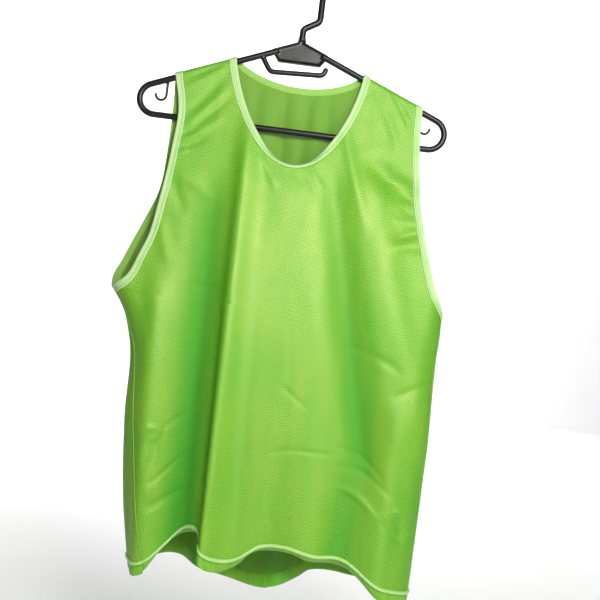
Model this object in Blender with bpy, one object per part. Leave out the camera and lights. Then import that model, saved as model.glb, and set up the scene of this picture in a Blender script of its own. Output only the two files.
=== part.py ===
"""Mesh training bib hung on a moulded plastic hanger, at real size.

World frame: +X is the viewer's right, -Y faces the viewer and +Z is up. The origin is the point
that holds it all: the inside of the crown of the hanger's hook. Sizes here are in millimetres, and
finish() turns them into metres. A "drop" is a distance below the apex, where the hanger's arms meet.

The cloth is one closed loop round the hanger at every drop, opened up at the neck and armholes.
A point of it is (w, t): w runs along the cloth from the middle of the front, round the sides to
the back, and t runs down the cloth and equals the drop, except where the cloth turns over an arm.
"""
import math
from collections import namedtuple

import bmesh
import bpy
import numpy as np
from mathutils import Vector
from mathutils.geometry import delaunay_2d_cdt

# Hanger, from the width of a common adult plastic hanger
ROD = 8.5                          # thickness of the arms, end loops and lower bar
SLOPE = math.radians(22)           # fall of the arms
BAR_DROP = 123.0                   # middle of the lower bar
LOOP_REACH = 206.8                 # from the middle to the furthest point of a loop's middle line
LEAD = 3.0                         # straight stretch at each end of an end loop
HOOK_ROD = 9.0
HOOK_RADIUS = 21.0                 # middle line of the hook's crown
CROWN_RISE = 77.0                  # middle of the crown above the apex
HOOK_REACH = CROWN_RISE + HOOK_RADIUS - HOOK_ROD / 2
BOSS_HEIGHT = 4.0                  # flat-topped boss at the apex, which the hook stands on
BOSS_WIDTH = 11.0
WEB_HALF = 36.0                    # half width of the web plate under the apex
WEB_FOOT_HALF = 28.5               # half width of its lower edge
WEB_DROP = 31.5
WEB_RIM = 4.0
WEB_THICKNESS = 8.0
PLATE_RECESS = 2.6                 # how deep the plate lies inside its rim, on each face
TIE_ROD = 7.2
STRAP_ROD = 3.6
STRAP_RADIUS = 7.1                 # bend of the strap hooks
STRAP_X = 171.8
STRAP_DROP = 95.5                  # middle of that bend
GAP = 0.3                          # between pieces that meet

# Bends in the hanger's plane. Angles are in degrees, with 0 to the right and 90 upwards.
Arc = namedtuple("Arc", "x drop radius start end steps")
TIE_START = -51.0                  # x at which the tie bar leaves the left arm
TIE_BENDS = (Arc(-27.5, 35.3, 9.0, 205, 262, 5), Arc(25.5, 33.5, 9.2, 275, 345, 6))
TIE_END = (37.4, 33.6)             # x and drop
STEM_TOP = (0.0, -9.0)             # where the hook's stem starts to bend
STEM_BENDS = (Arc(7.0, -12.5, 7.0, 180, 118, 4), Arc(13.2, -33.5, 8.0, 292, 358, 6))
CROWN = Arc(0.0, -CROWN_RISE, HOOK_RADIUS, 0, 205, 22)

# Cloth
WALL = 1.6
BINDING_WALL = 2.4
BINDING_WIDTH = 9.5
HEM_WALL = 2.6
HEM_WIDTH = 17.0
HEM_GAP = 0.8                      # between a panel and its hem, which folds bring close
HEM_LINE = 712.0                   # where the panels end and the turned hems begin
OVER_ARM = 5.5                     # radius of the cloth's middle where it turns over an arm
FOLD_FADE = 60.0                   # length over which a fold comes in or dies away
SEAM_EASE = 80.0                   # length over which a side seam comes to its line
LIFT_START = 430.0                 # above this drop the hem's rise and fall isn't felt
COLUMN = 14.0                      # spacing of the cloth's points across
ROW = 34.0                         # and down
HEM_STEPS = 38                     # points along a hem
NECK_STEPS = 11                    # and down each side of the neck
ARMHOLE_STEPS = 35                 # and round an armhole, between its turns over the arm

# The loop of cloth at a drop: furthest left and right, half its depth, and the side seams
Section = namedtuple("Section", "drop left right half_depth seam_left seam_right")
SECTIONS = (
    Section(0, -222, 238, 5.5, -215, 236),
    Section(70, -222, 238, 5.6, -215, 236),
    Section(175, -221, 238, 13, -214, 236),
    Section(270, -220, 236, 21, -213, 235),
    Section(350, -217, 233, 29, -206, 231),
    Section(378, -198, 233, 31, -186, 229),
    Section(420, -183, 233, 33, -174, 229),
    Section(530, -175, 234, 37, -158, 229),
    Section(640, -162, 233, 42, -137, 228),
    Section(740, -143, 231, 46, -113, 225),
)

# Edge of the neck: half width, middle at the top and the bottom, drop of the bottom. CURVE shapes it.
Neck = namedtuple("Neck", "half_width middle_top middle_bottom bottom")
NECK_CURVE = 1.43
FRONT_NECK = Neck(96.0, 2.0, 7.0, 173.0)
BACK_NECK = Neck(96.0, 2.0, 6.0, 71.0)
NECK_ROLL = 8.0                    # how far the binding's free edge tips inwards at the bottom
NECK_SINK = 4.5                    # and how much lower that leaves it
NECK_ROLL_START = 128.0            # drop from which it tips

# Free edge of an armhole, from the shoulder down the front, under the arm and up the back
Edge = namedtuple("Edge", "face x drop")
ARMHOLE_LEFT = (
    Edge("front", -164, 0),
    Edge("front", -153, 110),
    Edge("front", -155, 165),
    Edge("front", -163, 240),
    Edge("front", -175, 300),
    Edge("front", -194, 344),
    Edge("side", -214, 356),
    Edge("back", -211, 330),
    Edge("back", -191, 280),
    Edge("back", -168, 220),
    Edge("back", -163, 165),
    Edge("back", -162, 110),
    Edge("back", -164, 0),
)
ARMHOLE_RIGHT = (
    Edge("front", 173, 0),
    Edge("front", 174, 110),
    Edge("front", 180, 165),
    Edge("front", 193, 235),
    Edge("front", 209, 290),
    Edge("front", 224, 326),
    Edge("side", 234, 344),
    Edge("back", 222, 318),
    Edge("back", 200, 270),
    Edge("back", 180, 210),
    Edge("back", 170, 150),
    Edge("back", 168, 110),
    Edge("back", 173, 0),
)

# Largest folds: a soft ridge (height > 0) or trough along a line down the cloth. It is level over
# its flat half-width, and falls off over its own width on each side. A lean pushes the ridge
# sideways, so that it overhangs the trough beside it.
Fold = namedtuple(
    "Fold", "x_top drop_top x_low drop_low height_top height_low flat wide_left wide_right lean"
)
FRONT_FOLDS = (
    Fold(-56, 115, -30, 800, 8, 38, 0, 13, 17, 18),     # tall ridge from the neck to the hem
    Fold(12, 150, 44, 800, 5, 15, 34, 24, 34, 0),       # broad swell down the middle
    Fold(-94, 200, -78, 800, -8, -18, 0, 24, 17, 0),    # deep trough on the ridge's left
    Fold(-151, 330, -122, 800, 7, 12, 0, 14, 20, 0),    # pale ridge by the left seam
    Fold(38, 520, 30, 800, 0, -12, 0, 22, 28, 0),       # hollow over the hem's arch
    Fold(62, 165, 158, 600, -8, -13, 0, 16, 22, 0),     # slanting trough from the right of the neck
    Fold(84, 150, 206, 530, 8, 9, 4, 14, 19, 0),        # ridge beside it
    Fold(132, 560, 120, 800, -6, -13, 0, 20, 24, 0),
    Fold(186, 470, 176, 800, 8, 14, 0, 24, 20, 0),
)
BACK_FOLDS = (
    Fold(-112, 150, -98, 800, 7, 22, 0, 20, 28, -8),
    Fold(-60, 200, -52, 800, -6, -20, 0, 22, 22, 0),
    Fold(-8, 90, 6, 800, 5, 20, 0, 26, 20, 6),
    Fold(48, 130, 56, 800, -6, -18, 0, 24, 24, 0),
    Fold(104, 180, 110, 800, 7, 20, 0, 20, 28, 8),
    Fold(164, 260, 160, 800, -5, -16, 0, 22, 22, 0),
)

# How far the hem line rises above HEM_LINE
Rise = namedtuple("Rise", "x up")
FRONT_RISE = (
    Rise(-150, 0), Rise(-122, 4), Rise(-105, 22), Rise(-60, 54), Rise(-40, 38), Rise(-18, 22),
    Rise(26, 43), Rise(55, 46), Rise(100, 37), Rise(140, 32), Rise(182, 8), Rise(228, -5),
)
BACK_RISE = (
    Rise(-150, 0), Rise(-83, 6), Rise(19, -24), Rise(87, -3), Rise(156, 12), Rise(228, -5),
)


def smooth(at, xs, ys):
    """The smooth curve through the points (xs, ys), read at the values in at."""
    xs = np.asarray(xs, float)
    ys = np.asarray(ys, float)
    at = np.clip(at, xs[0], xs[-1])
    slope = np.gradient(ys, xs)
    k = np.clip(np.searchsorted(xs, at) - 1, 0, len(xs) - 2)
    step = xs[k + 1] - xs[k]
    s = (at - xs[k]) / step
    start = (1 + 2 * s) * (1 - s) ** 2 * ys[k] + s * (1 - s) ** 2 * step * slope[k]
    return start + s * s * (3 - 2 * s) * ys[k + 1] - s * s * (1 - s) * step * slope[k + 1]


def ramp(value, low, high):
    """0 below low and 1 above high, with a soft start and end."""
    s = np.clip((value - low) / (high - low), 0, 1)
    return s * s * (3 - 2 * s)


def section(t, column):
    return smooth(t, [row.drop for row in SECTIONS], [getattr(row, column) for row in SECTIONS])


def loop(t):
    """Middle, half of the flat stretch, and half depth of the loop of cloth at t."""
    left, right, depth = (section(t, name) for name in ("left", "right", "half_depth"))
    return (left + right) / 2, (right - left) / 2 - depth, depth


def front_w(x, t):
    """The w of the point of the front, or of the side's front half, that lies at x."""
    middle, flat, depth = loop(t)
    past = np.abs(x - middle) - flat
    turned = depth * np.arcsin(np.clip(past / depth, 0, 1))
    return np.sign(x - middle) * (flat + np.where(past > 0, turned, past))


def other_face(w, t):
    """w measured from the middle of the other face: the front's to the back's, or the reverse."""
    middle, flat, depth = loop(t)
    return np.where(w < 0, -1, 1) * (2 * flat + math.pi * depth) - w


def fold_height(folds, w, t):
    """Height and sideways lean that the folds give at (w, t), with w from their own face's middle."""
    height = np.zeros_like(w)
    lean = np.zeros_like(w)
    for fold in folds:
        along = (t - fold.drop_top) / (fold.drop_low - fold.drop_top)
        off = w - front_w(fold.x_top + along * (fold.x_low - fold.x_top), t)
        past = np.maximum(np.abs(off) - fold.flat, 0)
        width = np.where(off < 0, fold.wide_left, fold.wide_right)
        ends = ramp(t, fold.drop_top - FOLD_FADE / 2, fold.drop_top + FOLD_FADE)
        ends *= 1 - ramp(t, fold.drop_low - FOLD_FADE, fold.drop_low + FOLD_FADE / 2)
        shape = ends * np.exp(-((past / width) ** 2))
        height += shape * (fold.height_top + along * (fold.height_low - fold.height_top))
        lean += shape * np.clip(along, 0, 1) * fold.lean
    return height, lean


def shoulder_drop(x):
    """Drop of the middle of the cloth's wall on top of an arm."""
    arm = ROD / 2 / math.cos(SLOPE) + np.abs(x) * math.tan(SLOPE)
    return arm - OVER_ARM / math.cos(SLOPE)


def turn_length():
    """Length of the cloth's quarter turn from the top of an arm to its front or back."""
    return math.pi / 4 * OVER_ARM * (1 + 1 / math.cos(SLOPE))


def shoulder_t(x):
    """The t of the shoulder line, on top of an arm."""
    return shoulder_drop(x) + OVER_ARM / math.cos(SLOPE) - turn_length()


def base_x(w, t):
    """x of the cloth before its folds."""
    middle, flat, depth = loop(t)
    angle = np.clip((np.abs(w) - flat) / depth, 0, math.pi)
    behind = np.maximum(np.abs(w) - flat - math.pi * depth, 0)
    return middle + np.sign(w) * (np.minimum(np.abs(w), flat) + depth * np.sin(angle) - behind)


def place(w, t):
    """The points of the middle of the cloth's wall, in mm, with the apex at the origin."""
    w = np.asarray(w, float)
    t = np.asarray(t, float)
    middle, flat, depth = loop(t)
    side = np.where(w < 0, -1, 1)
    angle = np.clip((np.abs(w) - flat) / depth, 0, math.pi)
    x = base_x(w, t)
    turn = np.clip((t - shoulder_t(x)) / turn_length(), 0, 1) * math.pi / 2
    y = -depth * np.cos(angle) * np.sin(turn)
    drop = np.maximum(t, shoulder_drop(x) + OVER_ARM / math.cos(SLOPE) * (1 - np.cos(turn)))
    height, lean = fold_height(FRONT_FOLDS, w, t)
    height_back, lean_back = fold_height(BACK_FOLDS, other_face(w, t), t)
    height = (height + height_back) * np.sin(turn)
    lean = (lean + lean_back) * np.sin(turn)
    is_front = (1 + np.cos(angle)) / 2
    rise = is_front * smooth(x, [r.x for r in FRONT_RISE], [r.up for r in FRONT_RISE])
    rise += (1 - is_front) * smooth(x, [r.x for r in BACK_RISE], [r.up for r in BACK_RISE])
    drop = drop - rise * ramp(t, LIFT_START, HEM_LINE)
    x = x + side * np.sin(angle) * height - lean
    y = y - np.cos(angle) * height
    return np.stack([x, y, -drop], axis=-1)


def outward(w, t):
    """Unit normals of the cloth, pointing out of the garment."""
    step = 0.5
    across = place(w + step, t) - place(w - step, t)
    down = place(w, t + step) - place(w, t - step)
    normal = np.cross(down, across)
    return normal / np.linalg.norm(normal, axis=-1, keepdims=True)


def turn_steps():
    """Steps down the cloth's turn over an arm."""
    return np.linspace(0, turn_length(), 5)


def neck_points(neck, widen):
    """(w, t) along one edge of the neck from the right shoulder to the left. widen moves it out."""
    half = neck.half_width + widen
    bottom = neck.bottom + widen
    sunk = (turn_steps() / (bottom - shoulder_t(half))) ** (1 / NECK_CURVE)
    angles = np.arcsin(sunk)
    angles = np.concatenate([angles, np.linspace(angles[-1], math.pi / 2, NECK_STEPS)[1:]])
    angles = np.concatenate([angles, math.pi - angles[-2::-1]])
    sunk = np.sin(angles) ** NECK_CURVE
    x = neck.middle_top + (neck.middle_bottom - neck.middle_top) * sunk + half * np.cos(angles)
    top = np.where(angles < math.pi / 2, shoulder_t(x[0]), shoulder_t(x[-1]))
    t = top + (bottom - top) * sunk
    turn = turn_steps()
    t[:len(turn)] = shoulder_t(x[:len(turn)]) + turn
    t[-len(turn):] = shoulder_t(x[-len(turn):]) + turn[::-1]
    return np.stack([front_w(x, t), t], axis=1)


def edge_points(edges):
    """(w, t) along an armhole's free edge: down the front, under the arm and up the back."""
    rows = []
    for edge in edges:
        t = max(edge.drop, shoulder_t(edge.x))
        w = front_w(edge.x, t)
        rows.append((float(other_face(w, t) if edge.face == "back" else w), t))
    rows = np.array(rows)
    reach = np.concatenate([[0], np.cumsum(np.linalg.norm(np.diff(rows, axis=0), axis=1))])
    turn = turn_steps()
    between = np.linspace(turn[-1], reach[-1] - turn[-1], ARMHOLE_STEPS)[1:-1]
    at = np.concatenate([turn, between, reach[-1] - turn[::-1]])
    return np.stack([smooth(at, reach, rows[:, 0]), smooth(at, reach, rows[:, 1])], axis=1)


def moved_in(edge, distance):
    """An armhole's edge moved into the cloth. Where it turns over the arm it keeps its level."""
    ahead = np.gradient(edge, axis=0)
    ahead /= np.linalg.norm(ahead, axis=1, keepdims=True)
    side = -np.sign(edge[:, :1])
    moved = edge + distance * side * np.stack([ahead[:, 1], -ahead[:, 0]], axis=1)
    turn = len(turn_steps())
    for k in [*range(turn), *range(-turn, 0)]:
        moved[k, 0] = edge[k, 0] + distance * side[k, 0] * (1 if k >= 0 else -1)
        level = edge[k, 1] - shoulder_t(base_x(*edge[k]))
        moved[k, 1] = shoulder_t(base_x(*moved[k])) + level
    return moved


def seam_w(t, column):
    return front_w(section(t, column), t)


def seam_point(edge, column):
    """Number of the point of an armhole's edge that is nearest to the side seam."""
    return int(np.argmin(np.abs(edge[:, 0] - seam_w(edge[:, 1], column))))


def seam_line(top, column, gap):
    """(w, t) down a side seam. It starts at the point top of the armhole and eases into its line."""
    t = np.linspace(top[1], HEM_LINE, 1 + round((HEM_LINE - top[1]) / ROW))
    start = (top[0] - seam_w(top[1], column)) * (1 - ramp(t, top[1], top[1] + SEAM_EASE))
    return np.stack([seam_w(t, column) + start + gap, t], axis=1)


def shoulder_line(start_x, end_x):
    """(w, t) along the top of an arm, between the binding of the armhole and that of the neck."""
    x = np.linspace(start_x, end_x, 2 + round(abs(end_x - start_x) / COLUMN))[1:-1]
    t = shoulder_t(x) + GAP / 2
    return np.stack([front_w(x, t), t], axis=1)


def panel_outline(face, neck, armholes):
    """The outline of the front or the back, in (w, t) measured from that panel's own middle."""
    neck_edge = neck_points(neck, GAP)[::-1]
    neck_edge[[0, -1], 1] += GAP / 2
    sides = []
    for column, armhole, away in zip(("seam_left", "seam_right"), armholes, (-1, 1)):
        edge = moved_in(armhole, BINDING_WIDTH + GAP)
        k = seam_point(edge, column)
        share = edge[k - 1::-1] if face == "front" else edge[k + 1:]
        line = seam_line(edge[k], column, (-away if face == "front" else away) * GAP / 2)
        share = np.vstack([line[::-1], share])
        if face == "back":
            share[:, 0] = other_face(share[:, 0], share[:, 1])
        share[-1, 1] += GAP / 2
        sides.append(share)
    left, right = sides
    left_top, right_top = (float(base_x(*side[-1])) for side in sides)
    neck_left, neck_right = (float(base_x(*neck_edge[k])) for k in (0, -1))
    right = right[::-1]
    lower = np.linspace(right[-1], left[0], HEM_STEPS)[1:-1]
    shoulders = (shoulder_line(left_top, neck_left), shoulder_line(neck_right, right_top))
    return np.vstack([left, shoulders[0], neck_edge, shoulders[1], right, lower]), shoulders


def inside(points, outline):
    """Which points lie inside the outline."""
    x, y = points[:, :1], points[:, 1:]
    x0, y0 = outline.T
    x1, y1 = np.roll(outline, -1, axis=0).T
    crosses = (y0 > y) != (y1 > y)
    reach = x0 + (y - y0) * (x1 - x0) / np.where(y1 == y0, 1, y1 - y0)
    return (crosses & (x < reach)).sum(axis=1) % 2 == 1


def clear_of(points, outline, distance):
    """Which points keep a distance from the outline's lines."""
    along = np.roll(outline, -1, axis=0) - outline
    share = ((points[:, None] - outline) * along).sum(axis=2) / (along ** 2).sum(axis=1)
    nearest = outline + np.clip(share, 0, 1)[..., None] * along
    return np.linalg.norm(points[:, None] - nearest, axis=2).min(axis=1) > distance


def grid_inside(outline, shoulders):
    """Points all over the panel, with close rows where the cloth turns over the arms."""
    squash = np.array([1, COLUMN / ROW])
    w, t = np.meshgrid(np.arange(-266, 267, COLUMN), np.arange(0, HEM_LINE, ROW))
    grid = np.stack([w.ravel(), t.ravel()], axis=1)
    keep = inside(grid, outline) & clear_of(grid * squash, outline * squash, COLUMN / 2)
    turns = [line + (0, step) for line in shoulders for step in turn_steps()[1:]]
    for line in shoulders:
        far = clear_of(grid * squash, (line + (0, turn_length())) * squash, COLUMN / 2)
        keep &= far
    return np.vstack([grid[keep], *turns])


def level(w, t):
    """How far down the cloth (w, t) is below the shoulders, with the close rows there spread out."""
    below = t - shoulder_t(base_x(w, t))
    turned = np.minimum(below / turn_length(), 1)
    hanging = np.maximum(below - turn_length(), 0)
    return COLUMN * (turned * len(turn_steps()) + hanging / ROW)


def panel(name, face, neck, armholes, material):
    """The front's or the back's wall of cloth, from a triangulation of the points inside its outline."""
    outline, shoulders = panel_outline(face, neck, armholes)
    spots = np.vstack([outline, grid_inside(outline, shoulders)])
    flat = np.stack([spots[:, 0], level(*spots.T)], axis=1)
    ring = list(range(len(outline)))
    cut = delaunay_2d_cdt([Vector(p) for p in flat], [], [ring], 1, 1e-5)
    faces = [[cut[3][k][0] for k in corners] for corners in cut[2]]
    used = sorted({k for corners in faces for k in corners})
    number = {k: n for n, k in enumerate(used)}
    faces = [[number[k] for k in corners] for corners in faces]
    spots = spots[used]
    if face == "back":
        spots[:, 0] = other_face(spots[:, 0], spots[:, 1])
    middle = place(*spots.T)
    half = outward(*spots.T) * WALL / 2
    closed_wall(name, np.vstack([middle + half, middle - half]), faces, material)


def closed_wall(name, points, faces, material):
    """The outer points come first, then as many inner ones. The rim is closed between them."""
    count = len(points) // 2
    edges = {}
    for face in faces:
        for a, b in zip(face, face[1:] + face[:1]):
            edges[(a, b)] = edges.get((a, b), 0) + 1
    rim = [(a, b) for a, b in edges if (b, a) not in edges]
    shell = [list(face) for face in faces]
    shell += [[k + count for k in reversed(face)] for face in faces]
    shell += [[b, a, a + count, b + count] for a, b in rim]
    mesh_object(name, points, shell, material)


def strip(name, free, joined, thickness, material, roll=0.0, closed=True):
    """A band from the free edge to the one that meets the panel. Its inside is flush with the panel's.
    roll is how far the free edge tips inwards, at each of its points.
    """
    free_points = place(*free.T)
    free_points[:, 1] += roll
    middle = np.vstack([free_points, place(*joined.T)])
    normal = np.vstack([outward(*free.T), outward(*joined.T)])
    inner = middle - normal * WALL / 2
    count = len(free)
    faces = []
    for k in range(count if closed else count - 1):
        n = (k + 1) % count
        faces.append([k, n, n + count, k + count])
    closed_wall(name, np.vstack([inner + normal * thickness, inner]), faces, material)


def mesh_object(name, points, faces, material):
    mesh = bpy.data.meshes.new(name)
    mesh.from_pydata([tuple(p) for p in points], [], faces)
    body = bmesh.new()
    body.from_mesh(mesh)
    bmesh.ops.recalc_face_normals(body, faces=body.faces)
    bmesh.ops.triangulate(body, faces=body.faces)
    body.to_mesh(mesh)
    body.free()
    mesh.shade_smooth()
    mesh.materials.append(material)
    thing = bpy.data.objects.new(name, mesh)
    bpy.context.collection.objects.link(thing)


def make_material(name, colour, roughness):
    material = bpy.data.materials.new(name)
    material.use_nodes = True
    shader = material.node_tree.nodes["Principled BSDF"]
    shader.inputs["Base Color"].default_value = (*colour, 1)
    shader.inputs["Roughness"].default_value = roughness
    shader.inputs["Metallic"].default_value = 0
    return material


def tube(name, path, diameter, material):
    """A round rod along a path of (x, drop) points in the hanger's plane."""
    curve = bpy.data.curves.new(name, "CURVE")
    curve.dimensions = "3D"
    curve.bevel_depth = diameter / 2
    curve.bevel_resolution = 3
    curve.use_fill_caps = True
    spline = curve.splines.new("POLY")
    spline.points.add(len(path) - 1)
    for point, (x, drop) in zip(spline.points, path):
        point.co = (x, 0, -drop, 1)
        point.radius = 1
    spline.use_smooth = True
    curve.materials.append(material)
    rod = bpy.data.objects.new(name, curve)
    bpy.context.collection.objects.link(rod)


def arc(x, drop, radius, start, end, steps):
    """Points on an arc, as Arc describes it."""
    angles = np.radians(np.linspace(start, end, steps))
    return [(x + radius * math.cos(a), drop - radius * math.sin(a)) for a in angles]


def arm_drop(x):
    """Drop of an arm's middle line."""
    return ROD / 2 / math.cos(SLOPE) + abs(x) * math.tan(SLOPE)


def under_arm(x):
    """Highest drop for a piece that starts on the underside of an arm."""
    return arm_drop(x) + ROD / 2 / math.cos(SLOPE) + GAP


def build_hanger(plastic):
    tip = (BAR_DROP - arm_drop(0)) / math.tan(SLOPE)
    radius = (tip - LOOP_REACH) / (1 / math.tan(SLOPE / 2) - 1)
    centre = tip - radius / math.tan(SLOPE / 2)
    arm_end = centre + radius * math.sin(SLOPE)
    lead_start = arm_end - LEAD * math.cos(SLOPE)
    for side, word in ((-1, "left"), (1, "right")):
        arm = WEB_HALF + GAP * math.cos(SLOPE), lead_start - GAP * math.cos(SLOPE)
        tube(f"hanger_arm_{word}", [(side * x, arm_drop(x)) for x in arm], ROD, plastic)
        bend = arc(centre, BAR_DROP - radius, radius, 90 - math.degrees(SLOPE), -90, 15)
        bend = [(lead_start, arm_drop(lead_start)), *bend, (centre - LEAD, BAR_DROP)]
        tube(f"hanger_end_{word}", [(side * x, drop) for x, drop in bend], ROD, plastic)
        strap_top = under_arm(STRAP_X) + STRAP_ROD / 2 * math.tan(SLOPE)
        bend = arc(STRAP_X + STRAP_RADIUS, STRAP_DROP, STRAP_RADIUS, 180, 360, 9)
        hook = [(STRAP_X, strap_top), *bend]
        tube(f"hanger_strap_hook_{word}", [(side * x, drop) for x, drop in hook], STRAP_ROD, plastic)
    bar_half = centre - LEAD - GAP
    tube("hanger_lower_bar", [(-bar_half, BAR_DROP), (bar_half, BAR_DROP)], ROD, plastic)
    build_web(plastic)
    tie = [(TIE_START, under_arm(TIE_START) + TIE_ROD / 2)]
    for bend in TIE_BENDS:
        tie += arc(*bend)
    tube("hanger_tie_bar", [*tie, TIE_END], TIE_ROD, plastic)
    hook = [(0, -BOSS_HEIGHT - GAP), STEM_TOP]
    for bend in (*STEM_BENDS, CROWN):
        hook += arc(*bend)
    tube("hanger_hook", hook, HOOK_ROD, plastic)


def build_web(plastic):
    """The plate under the apex, with the stretch of both arms that it joins and a rim round it."""
    across = ROD / 2 * math.sin(SLOPE)
    up = ROD / 2 * math.cos(SLOPE)
    boss = BOSS_WIDTH / 2
    right = [
        (boss, -BOSS_HEIGHT),
        (boss, boss * math.tan(SLOPE)),
        (WEB_HALF + across, arm_drop(WEB_HALF) - up),
        (WEB_HALF - across, arm_drop(WEB_HALF) + up),
        (WEB_FOOT_HALF, WEB_DROP),
    ]
    outline = right + [(-x, drop) for x, drop in reversed(right)]
    shape = bmesh.new()
    corners = [shape.verts.new((x, -WEB_THICKNESS / 2, -drop)) for x, drop in outline]
    front = shape.faces.new(corners)
    sides = bmesh.ops.extrude_face_region(shape, geom=[front])
    back = [f for f in sides["geom"] if isinstance(f, bmesh.types.BMFace)][0]
    bmesh.ops.translate(shape, verts=list(back.verts), vec=(0, WEB_THICKNESS, 0))
    bmesh.ops.recalc_face_normals(shape, faces=shape.faces)
    caps = [f for f in shape.faces if abs(f.normal.y) > 0.9]
    for cap in caps:
        bmesh.ops.inset_region(shape, faces=[cap], thickness=WEB_RIM, use_even_offset=True)
        way = -1 if cap.normal.y > 0 else 1
        bmesh.ops.translate(shape, verts=list(cap.verts), vec=(0, way * PLATE_RECESS, 0))
    mesh = bpy.data.meshes.new("hanger_web")
    shape.to_mesh(mesh)
    shape.free()
    mesh.materials.append(plastic)
    web = bpy.data.objects.new("hanger_web", mesh)
    bpy.context.collection.objects.link(web)


def hem_row(face, t):
    """(w, t) along the front's or the back's hem at t, from right to left."""
    gap = GAP / 2 if face == "front" else -GAP / 2
    ends = np.array([seam_w(t, "seam_right") - gap, seam_w(t, "seam_left") + gap])
    if face == "back":
        ends = other_face(ends, t)
    w = np.linspace(*ends, HEM_STEPS)
    drops = np.full(HEM_STEPS, t)
    return np.stack([w if face == "front" else other_face(w, drops), drops], axis=1)


def hem(name, face, material):
    """The turned hem below a panel, open at the side seams."""
    free = hem_row(face, HEM_LINE + HEM_WIDTH)
    strip(name, free, hem_row(face, HEM_LINE + HEM_GAP), HEM_WALL, material, closed=False)


def neck_ring(widen):
    """(w, t) all round the neck: across the front from right to left, and back behind. The
    number of the front's points comes second.
    """
    front = neck_points(FRONT_NECK, widen)
    back = neck_points(BACK_NECK, widen)[-2:0:-1]
    back[:, 0] = other_face(back[:, 0], back[:, 1])
    return np.vstack([front, back]), len(front)


def build_bib(cloth, tape):
    armholes = edge_points(ARMHOLE_LEFT), edge_points(ARMHOLE_RIGHT)
    panel("front_panel", "front", FRONT_NECK, armholes, cloth)
    panel("back_panel", "back", BACK_NECK, armholes, cloth)
    free, front_count = neck_ring(-BINDING_WIDTH)
    tip = ramp(free[:, 1], NECK_ROLL_START, FRONT_NECK.bottom - BINDING_WIDTH)
    tip[front_count:] = 0
    free[:, 1] += NECK_SINK * tip
    strip("neck_binding", free, neck_ring(0)[0], BINDING_WALL, tape, roll=NECK_ROLL * tip)
    for word, edge in zip(("left", "right"), armholes):
        joined = moved_in(edge, BINDING_WIDTH)
        strip(f"armhole_binding_{word}", edge[:-1], joined[:-1], BINDING_WALL, tape)
    hem("front_hem", "front", cloth)
    hem("back_hem", "back", cloth)


def finish():
    """Hangs everything from the origin and turns millimetres into metres."""
    for thing in bpy.context.scene.objects:
        thing.location = (0, 0, -HOOK_REACH * 0.001)
        thing.scale = (0.001, 0.001, 0.001)


def main():
    for thing in list(bpy.data.objects):
        bpy.data.objects.remove(thing, do_unlink=True)
    plastic = make_material("hanger_plastic", (0.012, 0.012, 0.014), 0.35)
    mesh_cloth = make_material("mesh_fabric", (0.22, 0.62, 0.06), 0.55)
    tape = make_material("binding_tape", (0.60, 0.86, 0.45), 0.7)
    build_hanger(plastic)
    build_bib(mesh_cloth, tape)
    finish()


main()
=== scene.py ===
"""Looks of the mesh training bib on its moulded hanger.

Sizes are in millimetres, but the studio's are in metres, as finished pieces are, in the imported
model's frame. The origin is the inside of the crown of the hanger's hook, +X is the viewer's right
and -Y faces the viewer. A "drop" is a distance below the apex, where the hanger's arms meet.

The cloth is one closed loop round the hanger at every drop. A point of it is (w, t): w runs along
the cloth from the middle of the front, round the sides to the back, and t runs down the cloth. t is
the drop, except where the cloth turns over an arm and where the lower edge's curve lifts it.
"""

import math
from collections import namedtuple

import bmesh
import bpy
import numpy as np
from mathutils import Matrix, Vector

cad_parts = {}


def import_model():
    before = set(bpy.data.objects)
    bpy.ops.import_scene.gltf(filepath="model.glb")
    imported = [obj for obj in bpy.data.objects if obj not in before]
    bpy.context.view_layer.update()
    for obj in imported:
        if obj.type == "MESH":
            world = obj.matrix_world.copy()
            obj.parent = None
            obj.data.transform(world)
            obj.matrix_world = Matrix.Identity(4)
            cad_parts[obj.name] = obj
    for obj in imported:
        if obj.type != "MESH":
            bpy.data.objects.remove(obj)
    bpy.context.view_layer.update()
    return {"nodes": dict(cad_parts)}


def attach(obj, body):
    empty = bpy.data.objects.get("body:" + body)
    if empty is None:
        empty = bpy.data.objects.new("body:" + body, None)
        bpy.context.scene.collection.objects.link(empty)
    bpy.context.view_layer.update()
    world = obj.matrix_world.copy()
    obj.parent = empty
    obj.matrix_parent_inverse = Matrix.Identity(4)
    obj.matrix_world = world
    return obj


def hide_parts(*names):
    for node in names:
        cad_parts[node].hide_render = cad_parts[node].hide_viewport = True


MM = 0.001

# Hanger
ROD = 8.5
SLOPE = math.radians(22)           # fall of the arms
BAR_DROP = 123.0
LOOP_REACH = 206.8                 # from the middle to the furthest point of an end loop's middle line
HOOK_ROD = 9.0
HOOK_RADIUS = 21.0
CROWN_RISE = 77.0
HOOK_REACH = CROWN_RISE + HOOK_RADIUS - HOOK_ROD / 2
WEB_HALF = 36.0
WEB_FOOT_HALF = 28.5
WEB_DROP = 31.5
WEB_RIM = 3.4
WEB_THICKNESS = 8.0
PLATE_RECESS = 2.6
BOSS_HEIGHT = 4.0
BOSS_WIDTH = 11.0
TIE_ROD = 7.2
STRAP_ROD = 3.6
STRAP_RADIUS = 7.1
STRAP_X = 171.8
STRAP_DROP = 95.5
ARM_OVERLAP = 6.0                  # how far an arm starts inside the web
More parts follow.
